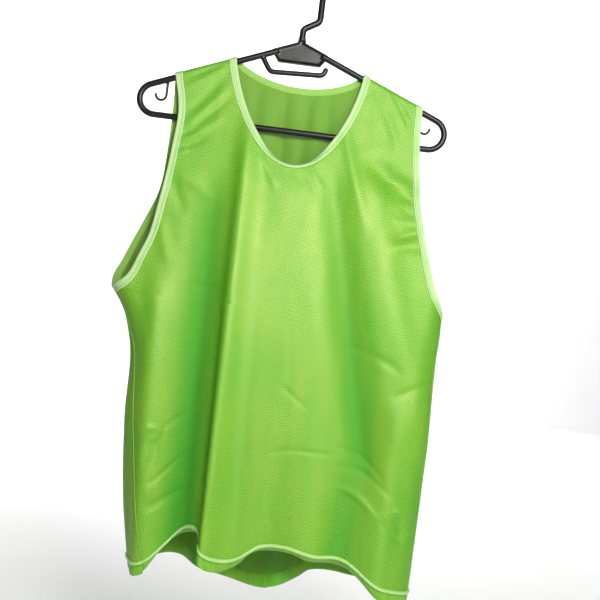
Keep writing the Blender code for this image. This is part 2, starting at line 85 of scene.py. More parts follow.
# Routes of its bent rods: ("run", length) or ("bend", radius, degrees), above 0 to the left
HOOK_MOVES = (
    ("run", 12.5), ("bend", 7, -59.5), ("run", 15.8), ("bend", 8, 59.5), ("run", 43.6),
    ("bend", HOOK_RADIUS, 205),
)
TIE_START = (-51, 25.5)            # x and drop
TIE_HEADING = -57
TIE_MOVES = (("run", 19.2), ("bend", 9, 60), ("run", 61.3), ("bend", 8, 72), ("run", 2))
ROD_SIDES = 20
BEND_STEP = 9                      # degrees of a bend that one step takes
DOME = (0, 30, 55, 75, 88)         # latitudes of the rings that round off a rod's end
FUSE_VOXEL = 0.85                  # the rods are fused in cells of this size

# Cloth
CLOTH = 0.7                        # thickness of the mesh
BINDING_WIDTH = 9.5
UNDERLAP = 3.0                     # how far a panel runs under a binding
HEM_LINE = 712.0
OVER_ARM = 5.5                     # radius of the cloth's middle where it turns over an arm
FOLD_FADE = 60.0                   # how softly a fold begins and ends along its line
FLAT_EASE = 7.0                    # how softly a fold's level middle ends
SEAM_EASE = 80.0                   # stretch below the arm in which a panel's side joins its seam
SEAM_TOP = 0.3                     # the raised seam may start this far above the armhole's lowest point
LIFT_START = 430.0                 # drop from which the lower edge's curve lifts the cloth
PATTERN_EASE = 90.0                # stretch below the neck in which the pattern starts to follow folds
ABOVE_ALL = -60.0                  # a drop higher than any cloth
SHOULDER_GUESS = 60.0              # about the shoulder line's t
SHOULDER_ROUNDS = 12
COLUMNS = 136                      # points across a panel
ROWS = 196                         # and down it
TURN_ROWS = 5                      # of those, the ones that turn over an arm
CELL = 3.6                         # about the distance between them
EDGE_STEPS = 240                   # points round an armhole
NECK_STEPS = 90                    # and down each side of the neck
HEM_STEPS = 260                    # and along a hem
SIDE_STEPS = 60                    # and down a panel's side, below the arm
SEAM_STEPS = 200                   # and down the raised seam there

# The loop of cloth at a drop: x of its sides, half its depth, and x of the side seams
Section = namedtuple("Section", "drop left right half_depth seam_left seam_right")
SECTIONS = (
    Section(0, -222, 238, 5.5, -215, 236),
    Section(70, -222, 238, 5.6, -215, 236),
    Section(175, -221, 238, 13, -214, 236),
    Section(270, -220, 236, 21, -213, 235),
    Section(350, -217, 233, 29, -206, 231),
    Section(378, -198, 233, 31, -186, 229),
    Section(420, -183, 233, 33, -174, 229),
    Section(530, -175, 234, 37, -158, 229),
    Section(640, -162, 233, 42, -137, 228),
    Section(740, -143, 231, 46, -113, 225),
)

# A neck at its binding's outer edge: x of its middle at the top and the bottom, and its lowest drop
Neck = namedtuple("Neck", "half_width middle_top middle_bottom bottom")
NECK_CURVE = 1.43                  # 1 would make it half an ellipse, and more narrows it downwards
FRONT_NECK = Neck(96.0, 2.0, 7.0, 173.0)
BACK_NECK = Neck(96.0, 2.0, 6.0, 71.0)
NECK_ROLL = 8.0                    # how far the binding's free edge tips inwards at the bottom
NECK_SINK = 4.5                    # and how much lower that leaves it
NECK_ROLL_START = 128.0            # drop from which it tips
NECK_ROLL_WIDTH = BINDING_WIDTH - UNDERLAP - 0.5     # what tips ends just short of the panel's edge

# Points of an armhole's free edge
Edge = namedtuple("Edge", "face x drop")
ARMHOLE_LEFT = (
    Edge("front", -164, 0),
    Edge("front", -153, 110),
    Edge("front", -155, 165),
    Edge("front", -163, 240),
    Edge("front", -175, 300),
    Edge("front", -194, 344),
    Edge("side", -214, 356),
    Edge("back", -211, 330),
    Edge("back", -191, 280),
    Edge("back", -168, 220),
    Edge("back", -163, 165),
    Edge("back", -162, 110),
    Edge("back", -164, 0),
)
ARMHOLE_RIGHT = (
    Edge("front", 173, 0),
    Edge("front", 174, 110),
    Edge("front", 180, 165),
    Edge("front", 193, 235),
    Edge("front", 209, 290),
    Edge("front", 224, 326),
    Edge("side", 234, 344),
    Edge("back", 222, 318),
    Edge("back", 200, 270),
    Edge("back", 180, 210),
    Edge("back", 170, 150),
    Edge("back", 168, 110),
    Edge("back", 173, 0),
)

# Large folds: a soft ridge (height > 0) or trough along a line down the cloth. It is level over its
# flat half-width, and falls off over its own width on each side. A lean pushes it sideways, over
# the trough beside it.
Fold = namedtuple(
    "Fold", "x_top drop_top x_low drop_low height_top height_low flat wide_left wide_right lean"
)
FRONT_FOLDS = (
    Fold(-56, 115, -30, 800, 8, 38, 0, 13, 17, 18),     # tall ridge from the neck to the hem
    Fold(12, 150, 44, 800, 5, 15, 34, 24, 34, 0),       # broad swell down the middle
    Fold(-94, 200, -78, 800, -8, -18, 0, 24, 17, 0),    # deep trough on the ridge's left
    Fold(-151, 330, -122, 800, 7, 12, 0, 14, 20, 0),    # pale ridge by the left seam
    Fold(38, 520, 30, 800, 0, -12, 0, 22, 28, 0),       # hollow over the hem's arch
    Fold(60, 165, 154, 600, -6, -11, 0, 18, 20, 0),     # slanting trough from the right of the neck
    Fold(94, 150, 206, 530, 7, 8, 12, 22, 26, 0),       # level-topped ridge beside it
    Fold(132, 560, 120, 800, -6, -13, 0, 20, 24, 0),    # trough at the right of the hem
    Fold(186, 470, 176, 800, 8, 14, 0, 24, 20, 0),      # ridge by the right seam
)
BACK_FOLDS = (
    Fold(-112, 150, -98, 800, 7, 22, 0, 20, 28, -8),
    Fold(-60, 200, -52, 800, -6, -20, 0, 22, 22, 0),
    Fold(-8, 90, 6, 800, 5, 20, 0, 26, 20, 6),
    Fold(48, 130, 56, 800, -6, -18, 0, 24, 24, 0),
    Fold(104, 180, 110, 800, 7, 20, 0, 20, 28, 8),
    Fold(164, 260, 160, 800, -5, -16, 0, 22, 22, 0),
)

DEEPEST = -15.0                    # fold height at which the shade painted into a trough is darkest
HIGHEST = 5.0                      # and at which the painted shade has faded out

# Creases and drag lines, from (x0, drop0) to (x1, drop1). bow curves one sideways at its middle.
Crease = namedtuple("Crease", "x0 drop0 x1 drop1 bow height width")
FRONT_CREASES = (
    # fanning from the left shoulder's neck end
    Crease(-96, 42, -140, 68, 0, -1.4, 4),
    Crease(-100, 50, -149, 84, 0, 1.3, 5),
    Crease(-93, 55, -142, 120, 2, -1.3, 7),
    Crease(-88, 73, -142, 137, 1, 1.6, 7),
    Crease(-85, 87, -128, 129, 1, -1.6, 5),
    Crease(-92, 117, -141, 156, -1, 1.6, 5),
    Crease(-124, 139, -143, 144, 0, -1.6, 3.5),
    Crease(-110, 147, -142, 164, 0, -1.5, 5),
    Crease(-132, 166, -148, 172, 0, 1.8, 3),
    # tucks from the left armhole
    Crease(-149, 197, -95, 227, 3, 2.0, 8),
    Crease(-148, 211, -127, 251, 0, -2.0, 7),
    Crease(-157, 264, -138, 320, -2, 2.4, 8),
    Crease(-105, 342, -62, 345, 0, -2.0, 3.5),
    # fanning from the right shoulder's neck end
    Crease(99, 40, 149, 142, 5, 1.8, 7),
    Crease(103, 44, 128, 85, 0, -1.2, 5),
    Crease(117, 45, 155, 110, 2, 1.3, 4.5),
    Crease(123, 50, 158, 102, 5, -1.2, 5),
    Crease(135, 57, 161, 84, 0, 1.2, 4.5),
    # tucks from the right armhole
    Crease(106, 150, 192, 208, 0, -7.0, 15),
    Crease(123, 180, 174, 177, 5, -1.6, 6),
    Crease(155, 201, 177, 203, 0, 1.4, 4.5),
    Crease(162, 214, 182, 216, 0, -1.2, 4),
    Crease(150, 227, 183, 228, 0, 1.5, 5),
    Crease(154, 252, 192, 234, 0, -3.4, 5),
    Crease(148, 268, 200, 258, 5, 3.6, 9),
    Crease(64, 87, 113, 245, 0, 2.4, 8),
    Crease(122, 200, 184, 430, 0, 3.0, 20),
    # gathers under the neck
    Crease(0, 178, 20, 187, 0, -0.8, 3),
    Crease(32, 172, 53, 198, 0, 1.0, 4),
    Crease(19, 180, 39, 210, 0, -0.9, 4),
    Crease(-35, 162, -10, 203, 0, 1.6, 5),
    # packing creases lower down
    Crease(-157, 532, -120, 537, 0, 2.4, 3.5),
    Crease(-120, 537, -130, 552, 0, 1.8, 3.5),
    Crease(-120, 537, -90, 520, 0, -2.0, 3.5),
    Crease(-130, 552, -135, 588, 0, -2.6, 4),
    Crease(-136, 609, -61, 575, -3, -2.0, 4),
    Crease(-132, 635, -76, 656, 2, -2.6, 7),
    Crease(26, 460, 64, 492, 0, -0.8, 3),
    Crease(14, 571, 112, 559, 3, -1.1, 3),
    Crease(101, 400, 183, 427, 6, -1.6, 5),
    Crease(176, 459, 220, 436, 0, -2.0, 4),
    Crease(112, 546, 182, 583, 8, -1.6, 4),
    Crease(116, 577, 191, 594, 7, -1.6, 4),
    Crease(113, 610, 173, 629, 3, 2.4, 5),
    Crease(191, 611, 227, 605, 0, 3.4, 5),
    Crease(193, 616, 211, 641, 0, -4.5, 7),
    Crease(178, 629, 210, 648, 0, -3.0, 5),
)
BACK_CREASES = (
    Crease(-98, 46, -150, 118, 3, 2.4, 6),
    Crease(-94, 70, -146, 160, 4, -2.2, 7),
    Crease(-118, 52, -157, 92, 0, -1.8, 4),
    Crease(100, 44, 152, 124, 4, 2.6, 6),
    Crease(98, 72, 158, 150, 3, -2.2, 6),
    Crease(122, 50, 164, 96, 0, 1.8, 4),
    Crease(-158, 236, -104, 250, 3, 2.6, 6),
    Crease(-164, 252, -120, 276, 0, -2.4, 5),
    Crease(172, 214, 118, 236, -3, 2.4, 6),
    Crease(184, 246, 132, 262, 0, -2.2, 5),
    Crease(-50, 62, -45, 176, 0, 3.0, 9),
    Crease(-13, 64, -10, 190, 0, 2.6, 8),
    Crease(20, 66, 18, 180, 0, 2.8, 8),
    Crease(46, 64, 52, 184, 0, 2.6, 8),
    Crease(-120, 480, -66, 494, 4, -1.8, 3.5),
    Crease(-30, 390, 62, 402, 5, -1.5, 3.5),
    Crease(86, 520, 166, 506, -4, -1.8, 3.5),
    Crease(-96, 604, -10, 590, 4, -1.6, 4),
    Crease(46, 630, 126, 652, 4, 1.8, 4.5),
)

# How far the lower edge is lifted at x
Rise = namedtuple("Rise", "x up")
FRONT_RISE = (
    Rise(-150, 0), Rise(-122, 4), Rise(-105, 22), Rise(-60, 54), Rise(-40, 38), Rise(-18, 22),
    Rise(26, 43), Rise(55, 46), Rise(100, 37), Rise(140, 32), Rise(182, 8), Rise(228, -5),
)
BACK_RISE = (
    Rise(-150, 0), Rise(-83, 6), Rise(19, -24), Rise(87, -3), Rise(156, 12), Rise(228, -5),
)

# How far the band below the hem's stitching tips inwards, in degrees, as seen at x
Tip = namedtuple("Tip", "x degrees")
FRONT_TIP = (
    Tip(-150, 10), Tip(-125, 20), Tip(-100, 55), Tip(-66, 62), Tip(-50, 8), Tip(-24, 8), Tip(-6, 50),
    Tip(40, 66), Tip(110, 62), Tip(150, 45), Tip(190, 20), Tip(228, 5),
)
BACK_TIP = (Tip(-150, 5), Tip(0, 8), Tip(228, 5))

# Slow waves that keep the cloth from being smooth between its folds
Wave = namedtuple("Wave", "across down phase height")
WAVES = (
    Wave(47, 160, 0.4, 0.55), Wave(-31, 121, 1.9, 0.45), Wave(22, 83, 3.1, 0.30),
    Wave(-17, -59, 5.2, 0.22), Wave(13, 37, 2.3, 0.13), Wave(-9.5, 31, 0.9, 0.08),
)

# Profile of a binding's wall: distance in from its free edge, and height above the cloth's middle
Rib = namedtuple("Rib", "across height")
BINDING_PROFILE = (
    Rib(0.0, 0.2), Rib(0.3, 1.0), Rib(1.1, 1.5), Rib(2.6, 1.55), Rib(4.0, 1.4), Rib(4.8, 0.8),
    Rib(5.6, 1.35), Rib(6.8, 1.5), Rib(7.5, 1.05), Rib(8.1, 1.35), Rib(8.9, 1.45), Rib(9.4, 1.0),
    Rib(9.5, 0.5), Rib(9.4, -0.6), Rib(8.7, -1.05), Rib(6.5, -1.1), Rib(4.2, -1.1), Rib(1.6, -1.1),
    Rib(0.5, -0.9), Rib(0.1, -0.4),
)
# The same for a hem, measured down from the line where it begins
HEM_PROFILE = (
    Rib(-2.0, 0.2), Rib(-1.7, 1.2), Rib(-0.8, 2.1), Rib(0.6, 2.5), Rib(2.0, 2.2), Rib(2.9, 1.1),
    Rib(3.6, -0.2), Rib(4.6, -0.2), Rib(6.5, 0.6), Rib(10.0, 1.0), Rib(13.0, 1.1), Rib(15.6, 1.0),
    Rib(16.8, 0.6), Rib(17.0, -0.1), Rib(16.6, -0.9), Rib(14.0, -1.3), Rib(9.0, -1.4), Rib(5.0, -1.5),
    Rib(3.6, -1.5), Rib(1.5, -0.9), Rib(-1.0, -0.8), Rib(-1.8, -0.4),
)
HEM_HINGE = 3.6                    # the band tips from here down
HEM_LENGTH = 450.0                 # about the length of one panel's hem
PUCKER_WAVE = 8.5                  # about the length of a pucker along it
PUCKER_HEIGHT = 0.5
PUCKER_LINE = 2.0                  # the puckers are highest here, in the stitching
PUCKER_REACH = 14.0                # and end this far from it
# And for a side seam, measured across it
SEAM_PROFILE = (
    Rib(-1.3, 0.1), Rib(-0.9, 0.9), Rib(0.0, 1.3), Rib(0.9, 0.9), Rib(1.3, 0.1), Rib(0.7, -0.7),
    Rib(-0.7, -0.7),
)


# ---------------------------------------------------------------- the cloth's form

def smooth(at, xs, ys):
    """The smooth curve through the points (xs, ys), read at the values in at."""
    xs = np.asarray(xs, float)
    ys = np.asarray(ys, float)
    at = np.clip(at, xs[0], xs[-1])
    slope = np.gradient(ys, xs)
    k = np.clip(np.searchsorted(xs, at) - 1, 0, len(xs) - 2)
    step = xs[k + 1] - xs[k]
    s = (at - xs[k]) / step
    start = (1 + 2 * s) * (1 - s) ** 2 * ys[k] + s * (1 - s) ** 2 * step * slope[k]
    return start + s * s * (3 - 2 * s) * ys[k + 1] - s * s * (1 - s) * step * slope[k + 1]


def read_table(table, at):
    """The smooth curve through a table of (place, value), read at the places in at."""
    return smooth(at, *zip(*table))


def ramp(value, low, high):
    """0 below low and 1 above high, with a soft start and end."""
    s = np.clip((value - low) / (high - low), 0, 1)
    return s * s * (3 - 2 * s)


def section(t, column):
    return smooth(t, [row.drop for row in SECTIONS], [getattr(row, column) for row in SECTIONS])


def loop(t):
    """Middle, half of the flat stretch, and half depth of the loop of cloth at t."""
    left, right, depth = (section(t, name) for name in ("left", "right", "half_depth"))
    return (left + right) / 2, (right - left) / 2 - depth, depth


def front_w(x, t):
    """The w of the point of the front, or of the side's front half, that lies at x."""
    middle, flat, depth = loop(t)
    past = np.abs(x - middle) - flat
    turned = depth * np.arcsin(np.clip(past / depth, 0, 1))
    return np.sign(x - middle) * (flat + np.where(past > 0, turned, past))


def other_face(w, t):
    """w measured from the middle of the other face: the front's to the back's, or the reverse."""
    middle, flat, depth = loop(t)
    return np.where(w < 0, -1, 1) * (2 * flat + math.pi * depth) - w


def own_w(face, w, t):
    """w measured from a face's own middle, from one measured from the front's, or the reverse."""
    return w if face == "front" else other_face(w, t)


def fold_height(folds, w, t):
    """Height and sideways lean that the large folds give at (w, t), w from their own face's middle."""
    height = np.zeros_like(w)
    lean = np.zeros_like(w)
    for fold in folds:
        along = (t - fold.drop_top) / (fold.drop_low - fold.drop_top)
        off = w - front_w(fold.x_top + along * (fold.x_low - fold.x_top), t)
        ends = ramp(t, fold.drop_top - FOLD_FADE / 2, fold.drop_top + FOLD_FADE)
        ends *= 1 - ramp(t, fold.drop_low - FOLD_FADE, fold.drop_low + FOLD_FADE / 2)
        past = np.abs(off)
        if fold.flat:
            past = FLAT_EASE * np.log1p(np.exp((past - fold.flat) / FLAT_EASE))
        shape = ends * np.exp(-((past / np.where(off < 0, fold.wide_left, fold.wide_right)) ** 2))
        height += shape * (fold.height_top + along * (fold.height_low - fold.height_top))
        lean += shape * np.clip(along, 0, 1) * fold.lean
    return height, lean


def crease_height(creases, x, t):
    """Height that the creases of one face give at x and t."""
    height = np.zeros_like(x)
    for crease in creases:
        dx = crease.x1 - crease.x0
        dt = crease.drop1 - crease.drop0
        length = math.hypot(dx, dt)
        along = ((x - crease.x0) * dx + (t - crease.drop0) * dt) / length ** 2
        off = ((x - crease.x0) * dt - (t - crease.drop0) * dx) / length
        off = off - crease.bow * 4 * along * (1 - along)
        ends = ramp(along, -0.15, 0.3) * (1 - ramp(along, 0.7, 1.15))
        height += ends * crease.height * np.exp(-((off / crease.width) ** 2))
    return height


def wave_height(w, t):
    """Small uneven swells, from waves that run across the cloth at different slants."""
    return sum(
        wave.height * np.sin(w / wave.across + t / wave.down + wave.phase) for wave in WAVES
    )


def shoulder_drop(x):
    """Drop of the middle of the cloth's wall on top of an arm."""
    arm = ROD / 2 / math.cos(SLOPE) + np.abs(x) * math.tan(SLOPE)
    return arm - OVER_ARM / math.cos(SLOPE)


def turn_length():
    """Length of the cloth's quarter turn from the top of an arm to its front or back."""
    return math.pi / 4 * OVER_ARM * (1 + 1 / math.cos(SLOPE))


def shoulder_t(x):
    """The t of the shoulder line, on top of an arm."""
    return shoulder_drop(x) + OVER_ARM / math.cos(SLOPE) - turn_length()


def base_x(w, t):
    """x of the cloth before its folds."""
    middle, flat, depth = loop(t)
    angle = np.clip((np.abs(w) - flat) / depth, 0, math.pi)
    behind = np.maximum(np.abs(w) - flat - math.pi * depth, 0)
    return middle + np.sign(w) * (np.minimum(np.abs(w), flat) + depth * np.sin(angle) - behind)


def place(w, t):
    """The points of the middle of the cloth, in mm, with the apex at the origin."""
    w = np.asarray(w, float)
    t = np.asarray(t, float)
    middle, flat, depth = loop(t)
    side = np.where(w < 0, -1, 1)
    angle = np.clip((np.abs(w) - flat) / depth, 0, math.pi)
    x = base_x(w, t)
    turn = np.clip((t - shoulder_t(x)) / turn_length(), 0, 1) * math.pi / 2
    y = -depth * np.cos(angle) * np.sin(turn)
    drop = np.maximum(t, shoulder_drop(x) + OVER_ARM / math.cos(SLOPE) * (1 - np.cos(turn)))
    height, lean = fold_height(FRONT_FOLDS, w, t)
    height_back, lean_back = fold_height(BACK_FOLDS, other_face(w, t), t)
    is_front = (1 + np.cos(angle)) / 2
    fine = ramp(is_front, 0.3, 0.8) * crease_height(FRONT_CREASES, x, t)
    fine += ramp(1 - is_front, 0.3, 0.8) * crease_height(BACK_CREASES, x, t)
    fine += wave_height(w, t) * ramp(t - shoulder_t(x), 20, 90)
    height = (height + height_back + fine) * np.sin(turn)
    lean = (lean + lean_back) * np.sin(turn)
    rise = is_front * read_table(FRONT_RISE, x) + (1 - is_front) * read_table(BACK_RISE, x)
    drop = drop - rise * ramp(t, LIFT_START, HEM_LINE)
    x = x + side * np.sin(angle) * height - lean
    y = y - np.cos(angle) * height
    return np.stack([x, y, -drop], axis=-1)


def raised(w, t):
    """How far the large folds lift the cloth: 0 at the bottom of a trough, and 1 on a ridge."""
    # The materials paint shade into the troughs by this.
    height = fold_height(FRONT_FOLDS, w, t)[0] + fold_height(BACK_FOLDS, other_face(w, t), t)[0]
    return ramp(height, DEEPEST, HIGHEST)


def outward(w, t):
    """Unit normals of the cloth, pointing out of the garment."""
    step = 0.5
    across = place(w + step, t) - place(w - step, t)
    down = place(w, t + step) - place(w, t - step)
    normal = np.cross(down, across)
    return normal / np.linalg.norm(normal, axis=-1, keepdims=True)


# ---------------------------------------------------------------- the lines it is cut to

def turn_steps():
    return np.linspace(0, turn_length(), TURN_ROWS + 1)


def neck_points(neck, widen):
    """(w, t) along one edge of the neck from the right shoulder to the left. widen moves it out."""
    half = neck.half_width + widen
    bottom = neck.bottom + widen
    sunk = (turn_steps() / (bottom - shoulder_t(half))) ** (1 / NECK_CURVE)
    angles = np.arcsin(sunk)
    angles = np.concatenate([angles, np.linspace(angles[-1], math.pi / 2, NECK_STEPS)[1:]])
    angles = np.concatenate([angles, math.pi - angles[-2::-1]])
    sunk = np.sin(angles) ** NECK_CURVE
    x = neck.middle_top + (neck.middle_bottom - neck.middle_top) * sunk + half * np.cos(angles)
    top = np.where(angles < math.pi / 2, shoulder_t(x[0]), shoulder_t(x[-1]))
    t = top + (bottom - top) * sunk
    turn = turn_steps()
    t[:len(turn)] = shoulder_t(x[:len(turn)]) + turn
    t[-len(turn):] = shoulder_t(x[-len(turn):]) + turn[::-1]
    return np.stack([front_w(x, t), t], axis=1)


def neck_ring(widen):
    """(w, t) all round the neck, down the front and back behind it, and how far each point tips."""
    front = neck_points(FRONT_NECK, widen)
    back = neck_points(BACK_NECK, widen)[-2:0:-1]
    back[:, 0] = other_face(back[:, 0], back[:, 1])
    tip = ramp(front[:, 1], NECK_ROLL_START, FRONT_NECK.bottom - BINDING_WIDTH)
    return np.vstack([front, back]), np.concatenate([tip, np.zeros(len(back))])


def edge_points(edges):
    """(w, t) along an armhole's free edge: down the front, under the arm and up the back."""
    rows = []
    for edge in edges:
        t = max(edge.drop, shoulder_t(edge.x))
        w = front_w(edge.x, t)
        rows.append((float(other_face(w, t) if edge.face == "back" else w), t))
    rows = np.array(rows)
    reach = np.concatenate([[0], np.cumsum(np.linalg.norm(np.diff(rows, axis=0), axis=1))])
    turn = turn_steps()
    between = np.linspace(turn[-1], reach[-1] - turn[-1], EDGE_STEPS)[1:-1]
    at = np.concatenate([turn, between, reach[-1] - turn[::-1]])
    return np.stack([smooth(at, reach, rows[:, 0]), smooth(at, reach, rows[:, 1])], axis=1)


def moved_in(edge, distance):
    """An armhole's edge moved into the cloth. Where it turns over the arm it keeps its level."""
    ahead = np.gradient(edge, axis=0)
    ahead /= np.linalg.norm(ahead, axis=1, keepdims=True)
    side = -np.sign(edge[:, :1])
    moved = edge + distance * side * np.stack([ahead[:, 1], -ahead[:, 0]], axis=1)
    turn = len(turn_steps())
    for k in [*range(turn), *range(-turn, 0)]:
        moved[k, 0] = edge[k, 0] + distance * side[k, 0] * (1 if k >= 0 else -1)
        level = edge[k, 1] - shoulder_t(base_x(*edge[k]))
        moved[k, 1] = shoulder_t(base_x(*moved[k])) + level
    return moved


def seam_w(t, hand):
    """The w of a side seam. hand says which: left or right."""
    return front_w(section(t, f"seam_{hand}"), t)


def panel_side(face, hand, armhole):
    """(w, t) down a panel's side, from the shoulder to the hem, w from that panel's own middle. Its
    last SIDE_STEPS points run from the lowest one under the arm.
    """
    edge = moved_in(armhole, BINDING_WIDTH - UNDERLAP)
    lowest = int(np.argmax(edge[:, 1]))
    top_w, top_t = edge[lowest]
    t = np.linspace(top_t, HEM_LINE, SIDE_STEPS)[1:]
    off = (top_w - seam_w(top_t, hand)) * (1 - ramp(t, top_t, top_t + SEAM_EASE))
    below = np.stack([seam_w(t, hand) + off, t], axis=1)
    beside = edge[:lowest + 1] if face == "front" else edge[:lowest - 1:-1]
    side = np.vstack([beside, below])
    side[:, 0] = own_w(face, side[:, 0], side[:, 1])
    return side


# ---------------------------------------------------------------- meshes

def as_metres(points):
    """Points in mm below the apex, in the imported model's frame and in metres."""
    return (np.asarray(points) - (0, 0, HOOK_REACH)) * MM


def grid_mesh(name, points, uv, lift, keep=None, around=False, along=False):
    """A mesh from points[row, column]. around joins the last row to the first, and along does so
    with the columns. uv has one more row or column there, so that the pattern doesn't run back.
    lift says how far the folds raise each point, from 0 to 1, and keep says which faces stay.
    """
    rows, columns = points.shape[:2]
    r, c = np.meshgrid(
        np.arange(rows if around else rows - 1), np.arange(columns if along else columns - 1),
        indexing="ij",
    )
    if keep is not None:
        r, c = r[keep], c[keep]
    r, c = r.ravel(), c.ravel()

    def number(row, column):
        return row % rows * columns + column % columns

    corners = [(r, c), (r + 1, c), (r + 1, c + 1), (r, c + 1)]
    faces = np.stack([number(*corner) for corner in corners], axis=1)
    spots = np.stack([uv[corner] for corner in corners], axis=1)
    used, faces = np.unique(faces, return_inverse=True)
    corner_points = as_metres(points.reshape(-1, 3)[used])
    mesh = bpy.data.meshes.new(name)
    mesh.from_pydata(corner_points.tolist(), [], faces.reshape(-1, 4).tolist())
    layer = mesh.uv_layers.new(name="cloth")
    layer.data.foreach_set("uv", (spots.reshape(-1, 2) * MM).ravel())
    # how far the folds raise each point, by which the materials paint shade into the troughs
    folds = mesh.attributes.new("folds", "FLOAT", "POINT")
    folds.data.foreach_set("value", lift.reshape(-1)[used])
    mesh.shade_smooth()
    piece = bpy.data.objects.new(name, mesh)
    bpy.context.collection.objects.link(piece)
    return piece


def select_only(piece):
    bpy.ops.object.select_all(action="DESELECT")
    piece.select_set(True)
    bpy.context.view_layer.objects.active = piece


def face_outwards(piece, cap_ends=False):
    """Turns the faces of a closed mesh outwards. cap_ends closes the ends of an open one first."""
    shape = bmesh.new()
    shape.from_mesh(piece.data)
    if cap_ends:
        rim = [edge for edge in shape.edges if edge.is_boundary]
        bmesh.ops.holes_fill(shape, edges=rim, sides=0)
    bmesh.ops.recalc_face_normals(shape, faces=shape.faces)
    shape.to_mesh(piece.data)
    shape.free()


def thicken(piece, thickness, materials):
    """Makes a sheet a wall, and gives its outside and its inside their materials."""
    for material in materials:
        piece.data.materials.append(material)
    select_only(piece)
    wall = piece.modifiers.new("wall", "SOLIDIFY")
    wall.thickness = thickness * MM
    wall.offset = 0
    wall.material_offset = 1
    bpy.ops.object.modifier_apply(modifier=wall.name)


def dress(piece, material, replaces=()):
    """Gives a piece its material, unless it has its own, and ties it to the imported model."""
    if not piece.data.materials:
        piece.data.materials.append(material)
    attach(piece, "root")
    if replaces:
        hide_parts(*replaces)
    return piece


# ---------------------------------------------------------------- pieces of the bib

def panel_points(face, armholes):
    """Points of a panel in rows from its shoulders to the hem, as (w, t) from its own middle."""
    left, right = (panel_side(face, hand, armhole) for hand, armhole in armholes.items())
    share = np.linspace(0, 1, COLUMNS)

    def across(t):
        start = np.interp(t, np.maximum.accumulate(left[:, 1]), left[:, 0])
        end = np.interp(t, np.maximum.accumulate(right[:, 1]), right[:, 0])
        return start + (end - start) * share

    # The shoulder line's t depends on x, and x on t, so the line is found in rounds
    top = np.full(COLUMNS, SHOULDER_GUESS)
    for _ in range(SHOULDER_ROUNDS):
        top = shoulder_t(base_x(own_w(face, across(top), top), top))
    turned = top + turn_length()
    down = np.linspace(0, 1, ROWS - TURN_ROWS)[:, None]
    t = np.vstack([top + turn_steps()[:-1, None], turned + (HEM_LINE - turned) * down])
    return np.stack([across(t), t], axis=-1)


def distance_inside(spots, ring):
    """How far points lie inside a closed ring, less than 0 outside it, and the nearest point of it."""
    shape = spots.shape
    spots = spots.reshape(-1, 2)
    ahead = np.roll(ring, -1, axis=0)
    best = np.full(len(spots), 1e9)
    nearest = spots.copy()
    crossings = np.zeros(len(spots), int)
    for a, b in zip(ring, ahead):
        line = b - a
        along = np.clip(((spots - a) @ line) / max(line @ line, 1e-9), 0, 1)
        foot = a + along[:, None] * line
        gap = np.linalg.norm(spots - foot, axis=1)
        closer = gap < best
        best = np.where(closer, gap, best)
        nearest[closer] = foot[closer]
        crosses = (a[1] > spots[:, 1]) != (b[1] > spots[:, 1])
        if a[1] != b[1]:
            reach = a[0] + (spots[:, 1] - a[1]) * line[0] / line[1]
            crossings += crosses & (spots[:, 0] < reach)
    inside = np.where(crossings % 2 == 1, best, -best)
    return inside.reshape(shape[:2]), nearest.reshape(shape)


def pattern_places(spots, points, neck):
    """Where a panel's points lie in its pattern, in mm across and down. It follows the real length
    of the cloth over the folds. Beside the neck, where points are pulled to the cut, it is (w, t).
    """
    below = ramp(spots[..., 1], neck.bottom, neck.bottom + PATTERN_EASE)

    def lengths(axis):
        flat = np.linalg.norm(np.diff(spots, axis=axis), axis=-1)
        real = np.linalg.norm(np.diff(points, axis=axis), axis=-1)
        stretch = 1 + np.delete(below, 0, axis) * (real / np.maximum(flat, 1e-6) - 1)
        steps = np.diff(spots[..., 1 - axis], axis=axis) * stretch
        return np.cumsum(np.insert(steps, 0, 0, axis=axis), axis=axis)

    across, down = lengths(1), lengths(0)
    middle = COLUMNS // 2
    across += spots[:, middle, :1] - across[:, middle, None]
    return np.stack([across, down + spots[:1, :, 1]], axis=-1)


def make_panel(face, neck, armholes, materials):
    """The front or the back: a thin sheet of mesh with its neck cut out."""
    spots = panel_points(face, armholes)
    cut = neck_points(neck, -UNDERLAP)
    above = np.array([[cut[-1, 0], ABOVE_ALL], [cut[0, 0], ABOVE_ALL]])
    inside, nearest = distance_inside(spots, np.vstack([cut, above]))
    hole = inside > CELL / 2
    keep = ~(hole[:-1, :-1] | hole[1:, :-1] | hole[:-1, 1:] | hole[1:, 1:])
    spots = np.where((inside > 0)[..., None], nearest, spots)
    t = spots[..., 1]
    w = own_w(face, spots[..., 0], t)
    points = place(w, t)
    uv = pattern_places(spots, points, neck)
    lift = raised(w, t)
    if face == "back":
        points, uv, lift, keep = (grid[:, ::-1] for grid in (points, uv, lift, keep))
    panel = grid_mesh(f"{face}_panel_cloth", points, uv, lift, keep=keep)
    thicken(panel, CLOTH, materials)
    return dress(panel, materials[0], [f"{face}_panel"])


def raise_lines(lines, profile):
    """Points of the ribs of a band: each line of (w, t) at its own rib's height above the cloth."""
    return np.array([
        place(*line.T) + outward(*line.T) * rib.height for line, rib in zip(lines, profile)
    ])


